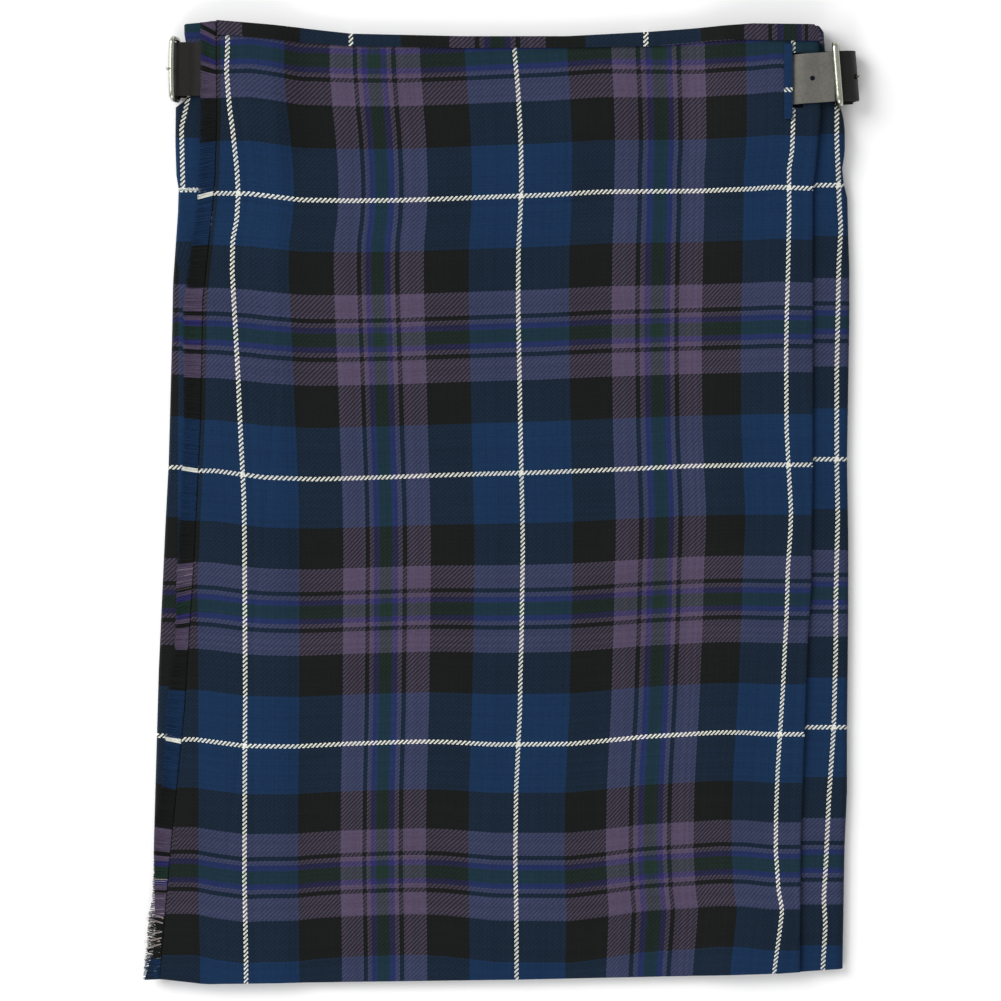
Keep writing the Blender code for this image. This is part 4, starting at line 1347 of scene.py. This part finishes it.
# %% Straps
APRON_STRAP_WIDTH, UNDER_STRAP_WIDTH = 34.2, 31.8
TAIL_TIP = 14.0
TAIL_END_PART = 0.35
LEAN_PLACES = (206.0, 218.0)
APRON_STRAP_Y = 276.5
APRON_STRAP_PATH = (
    (-165, 15.15), (-180, 15.15), (-194.5, 15.2), (-200, 16.7), (-205, 17.3),
    (-209.3, 15.4), (-211.1, 11.5), (-211.1, 6.5), (-209.6, 3), (-205.5, 1.25), (-198, 1.2),
    (-164, 1.2), (-150, 1.2),
)
UNDER_STRAP_Y = 270.9
UNDER_BUCKLE_Y, UNDER_PRONG_Y = 273.2, 271.8
UNDER_STRAP_SLOPE = 0.07
UNDER_BUCKLE_SKEW = -0.08
UNDER_STRAP_PATH = (
    (168, 15.2), (184.2, 15.2), (192.8, 18.95), (204, 18.9), (212, 19.4), (218.5, 18.9),
    (224.5, 16.2), (227.4, 11.5), (226.6, 6.2), (222.6, 2.5), (216, 1.2), (200, 1.2),
    (172, 1.2), (158, 1.2),
)


def strap_grid(path, middle_y, width, slope=0.0, skew=0.0):
    """Rows of points across the strap, which comes to lean as its buckle does."""
    line = smooth_path(path, 6)
    pivot, tail = path[3][0], path[-1][0]
    grid = []
    for x, z in line:
        near = abs(x - tail) if z < 2 * LEATHER else TAIL_TIP
        part = math.sqrt(min(1.0, near / TAIL_TIP))
        half = width / 2 * (TAIL_END_PART + (1 - TAIL_END_PART) * part)
        y = middle_y + slope * (x - pivot if z > 2 * LEATHER else 0.0)
        lean = skew * min(1.0, max(0.0, (x - LEAN_PLACES[0]) / (LEAN_PLACES[1] - LEAN_PLACES[0])))
        sides = [half * part for part in (-1.0, -0.5, 0.0, 0.5, 1.0)]
        grid.append([(x + lean * side, y + side, z) for side in sides])
    return grid


grid = strap_grid(APRON_STRAP_PATH, APRON_STRAP_Y, APRON_STRAP_WIDTH)
apron_strap = leather_wall("apron_strap_leather", grid, LEATHER, BLACK_LEATHER)
punch(apron_strap, [((-210.4, APRON_STRAP_Y, 13.6), (-0.6, 0.8), 1.7)])
lean = UNDER_STRAP_SLOPE, UNDER_BUCKLE_SKEW
grid = strap_grid(UNDER_STRAP_PATH, UNDER_STRAP_Y, UNDER_STRAP_WIDTH, *lean)
under_strap = leather_wall("under_strap_leather", grid, LEATHER, GREY_LEATHER)
punch(
    under_strap,
    [((199.1, 270.4, 18.9), (0.0, 1.0), 1.6), ((226.0, UNDER_PRONG_Y, 13.9), (0.77, 0.64), 1.7)],
)
print("straps:", count_triangles(apron_strap), "and", count_triangles(under_strap), "triangles")

# %% Chapes round the hinge bars
APRON_HINGE, APRON_BAR = (-206.1, 6.05), (-209.4, 22.2)
UNDER_HINGE, UNDER_BAR = (217.5, 6.05), (214.7, 22.8)
CHAPE_WIDTH, CHAPE_Z, CHAPE_LOOP, CHAPE_SLOT, CHAPE_LENGTH = 31.4, 3.4, 2.5, 2.0, 26.0


def chape(name, hinge, outward, middle_y, skew=0.0, slot_middle=0.0):
    x, z = hinge
    start = x - outward * CHAPE_LENGTH
    neck = x - outward * 4.5
    line = [(start, CHAPE_Z), ((start + neck) / 2, CHAPE_Z), (neck, CHAPE_Z)]
    line += [(x + outward * px, pz) for px, pz in turn(0.0, z, CHAPE_LOOP, -90, 105, 14)]
    half = CHAPE_WIDTH / 2
    ys = (-half, slot_middle - CHAPE_SLOT, slot_middle + CHAPE_SLOT, half)
    grid = [[(px + skew * y, middle_y + y, pz) for y in ys] for px, pz in line]
    slot = {(row, 1) for row in range(1, len(line) - 1)}
    return bake(leather_wall(name, grid, CHAPE_LEATHER, BLACK_LEATHER, slot, 0.3))


apron_chape = chape("apron_chape_leather", APRON_HINGE, -1, APRON_STRAP_Y)
OFF_MIDDLE = UNDER_PRONG_Y - UNDER_BUCKLE_Y
under_chape = chape(
    "under_chape_leather", UNDER_HINGE, 1, UNDER_BUCKLE_Y, UNDER_BUCKLE_SKEW, OFF_MIDDLE
)
print("chapes:", count_triangles(apron_chape), "triangles each")

# %% [markdown]
# ## Buckles
# Each buckle is a rounded frame of polished wire that stands up between the layers of leather.
# From above mostly its outer bar shows. The wire is a little flattened, which gives it the two
# lit strips that the photo shows. A prong hooks round the hinge bar and goes through the strap.

# %% Material: polished wire
CHROME, chrome_tree, chrome = new_finish("polished chrome", 0.12, 1.0)
dull = noise(chrome_tree, object_place(chrome_tree), 220.0, 3.0, 0.6)
tone = add(chrome_tree, "ShaderNodeValToRGB", (0, dull))
tone.color_ramp.elements[0].color = from_screen(160, 166, 142)
tone.color_ramp.elements[1].color = from_screen(196, 196, 188)
polish = remap(chrome_tree, dull, 0.3, 0.75, 0.16, 0.32)
dents = bump(chrome_tree, dull, 0.05, 0.1)
feed(chrome_tree, chrome, Base_Color=tone.outputs[0], Roughness=polish, Normal=dents)
print("chrome made")


# %% Sweeping a flattened round along a line
def sweep(name, points, sizes, cyclic, finish, sides=14):
    """A tube along points, with a half width along Y or X and a half height for each point."""
    line = np.array(points, float)
    count = len(line)
    before = np.roll(line, 1, axis=0)
    after = np.roll(line, -1, axis=0)
    if not cyclic:
        before[0], after[-1] = line[0], line[-1]
    tangent = after - before
    tangent /= np.linalg.norm(tangent, axis=1)[:, None]
    up_axis = np.cross(line[count // 3] - line[0], line[2 * count // 3] - line[0])
    up_axis = up_axis / np.linalg.norm(up_axis) if np.linalg.norm(up_axis) > 1e-6 else np.array((0, 1.0, 0))
    shape = bmesh.new()
    rings = []
    for spot, forward, (wide, high) in zip(line, tangent, sizes):
        side = np.cross(forward, up_axis)
        side /= np.linalg.norm(side)
        ring = []
        for i in range(sides):
            angle = 2 * math.pi * i / sides
            place = spot + side * wide * math.cos(angle) + up_axis * high * math.sin(angle)
            ring.append(shape.verts.new(at(place)))
        rings.append(ring)
    pairs = list(zip(rings, rings[1:])) + ([(rings[-1], rings[0])] if cyclic else [])
    for a, b in pairs:
        for i in range(sides):
            j = (i + 1) % sides
            shape.faces.new((a[i], a[j], b[j], b[i]))
    if not cyclic:
        shape.faces.new(rings[0][::-1])
        shape.faces.new(rings[-1])
    bmesh.ops.recalc_face_normals(shape, faces=shape.faces)
    piece = show(name, shape, finish)
    smooth(piece.data, 60.0)
    return piece


# %% Buckle frames
BUCKLE_LENGTH = 42.2
BUCKLE_CORNER = 4.0


def buckle(name, hinge, bar, middle_y, flat, skew=0.0, bow=0.0):
    """A rounded rectangle from its hinge bar up to its outer bar, `flat` times as wide there."""
    half = BUCKLE_LENGTH / 2 - WIRE_RADIUS
    rise = math.dist(hinge, bar)
    side, low, high = half - BUCKLE_CORNER, BUCKLE_CORNER, rise - BUCKLE_CORNER
    corners = (side, low, -90), (side, high, 0), (-side, high, 90), (-side, low, 180)
    outline = []
    for along, up, start in corners:
        outline += turn(along, up, BUCKLE_CORNER, start, start + 90, 8)
    points, sizes = [], []
    for along, up in divide([outline + outline[:1]], 2.0)[0][:-1]:
        part = up / rise
        arch = bow * (1 - (along / half) ** 2) * max(0.0, part * 2 - 1)
        x = hinge[0] + (bar[0] - hinge[0]) * part + skew * along + arch
        z = hinge[1] + (bar[1] - hinge[1]) * part
        points.append((x, middle_y + along, z))
        sizes.append((WIRE_RADIUS, WIRE_RADIUS * (0.8 + (flat - 0.8) * part**3)))
    return sweep(name, points, sizes, True, CHROME)


apron_buckle = buckle("apron_buckle_frame", APRON_HINGE, APRON_BAR, APRON_STRAP_Y, 1.15, bow=-0.5)
under_buckle = buckle(
    "under_buckle_frame", UNDER_HINGE, UNDER_BAR, UNDER_BUCKLE_Y, 1.4, UNDER_BUCKLE_SKEW
)
print("buckles:", count_triangles(apron_buckle), "triangles each")

# %% Prongs
APRON_STEM = (
    (-207.6, 9.4), (-209.2, 12), (-211.5, 15.2), (-212.5, 18.6), (-212.6, 22.2), (-211.3, 24.9),
)
UNDER_STEM = ((219.2, 9.2), (221.6, 10.6), (226.2, 14.0), (229.7, 16.8))
PRONG_LOOP = WIRE_RADIUS + 0.25 + PRONG_RADIUS


def prong(name, hinge, outward, middle_y, stem):
    x, z = hinge
    hook = [(x + outward * px, pz) for px, pz in turn(0.0, z, PRONG_LOOP, 290, 115, 16)]
    line = hook + smooth_path(stem, 4)
    points = [(px, middle_y, pz) for px, pz in line]
    sizes = []
    for k in range(len(points)):
        taper = 1.0 - 0.55 * max(0.0, (k - len(points) + 8) / 8)
        sizes.append((PRONG_RADIUS * taper, PRONG_RADIUS * taper))
    return sweep(name, points, sizes, False, CHROME, 10)


apron_prong = prong("apron_prong_wire", APRON_HINGE, -1, APRON_STRAP_Y, APRON_STEM)
prong_hinge = (UNDER_HINGE[0] + UNDER_BUCKLE_SKEW * OFF_MIDDLE, UNDER_HINGE[1])
under_prong = prong("under_prong_wire", prong_hinge, 1, UNDER_PRONG_Y, UNDER_STEM)
print("prongs:", count_triangles(apron_prong), "and", count_triangles(under_prong), "triangles")

# %% [markdown]
# ## Tying every piece to the model
# The kilt has no joints, so every piece rides on the one body. Each shell stands for its CAD
# solid, which is hidden.

# %% Pieces and the nodes they stand for
TIES = (
    # piece, nodes it stands for, finish slot
    (over_apron, ["over_apron"], "tartan"),
    (under_apron, ["under_apron"], "tartan"),
    (left_hip, ["left_hip_panel"], "tartan"),
    (back_pleats, ["back_pleats"], "tartan"),
    (over_band, ["over_apron_band"], "band"),
    (back_band, ["back_band"], "band"),
    (binding, ["slit_binding"], "binding"),
    (fringe_strip, ["apron_fringe"], "fringe"),
    (fringe_threads, [], "fringe"),
    (loose_ends, [], "fringe"),
    (apron_strap, ["apron_strap"], "black_leather"),
    (under_strap, ["under_strap"], "worn_leather"),
    (apron_chape, ["apron_chape"], "black_leather"),
    (under_chape, ["under_chape"], "black_leather"),
    (apron_buckle, ["apron_buckle"], "chrome"),
    (under_buckle, ["under_buckle"], "chrome"),
    (apron_prong, ["apron_prong"], "chrome"),
    (under_prong, ["under_prong"], "chrome"),
)
for piece, nodes, finish_slot in TIES:
    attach(piece, "root")
    if nodes:
        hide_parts(*nodes)
total = sum(count_triangles(row[0]) for row in TIES)
print("all pieces:", total, "triangles")


# %% Sizes of the cut cloth
def cloth_area(piece):
    """Half the closed wall's surface, in square metres: the cloth laid out flat."""
    return sum(face.area for face in piece.data.polygons) / 2


for piece in (over_apron, under_apron, left_hip, back_pleats, over_band, back_band, binding, fringe_strip):
    print(piece.name, "measures", round(cloth_area(piece), 4), "square metres")
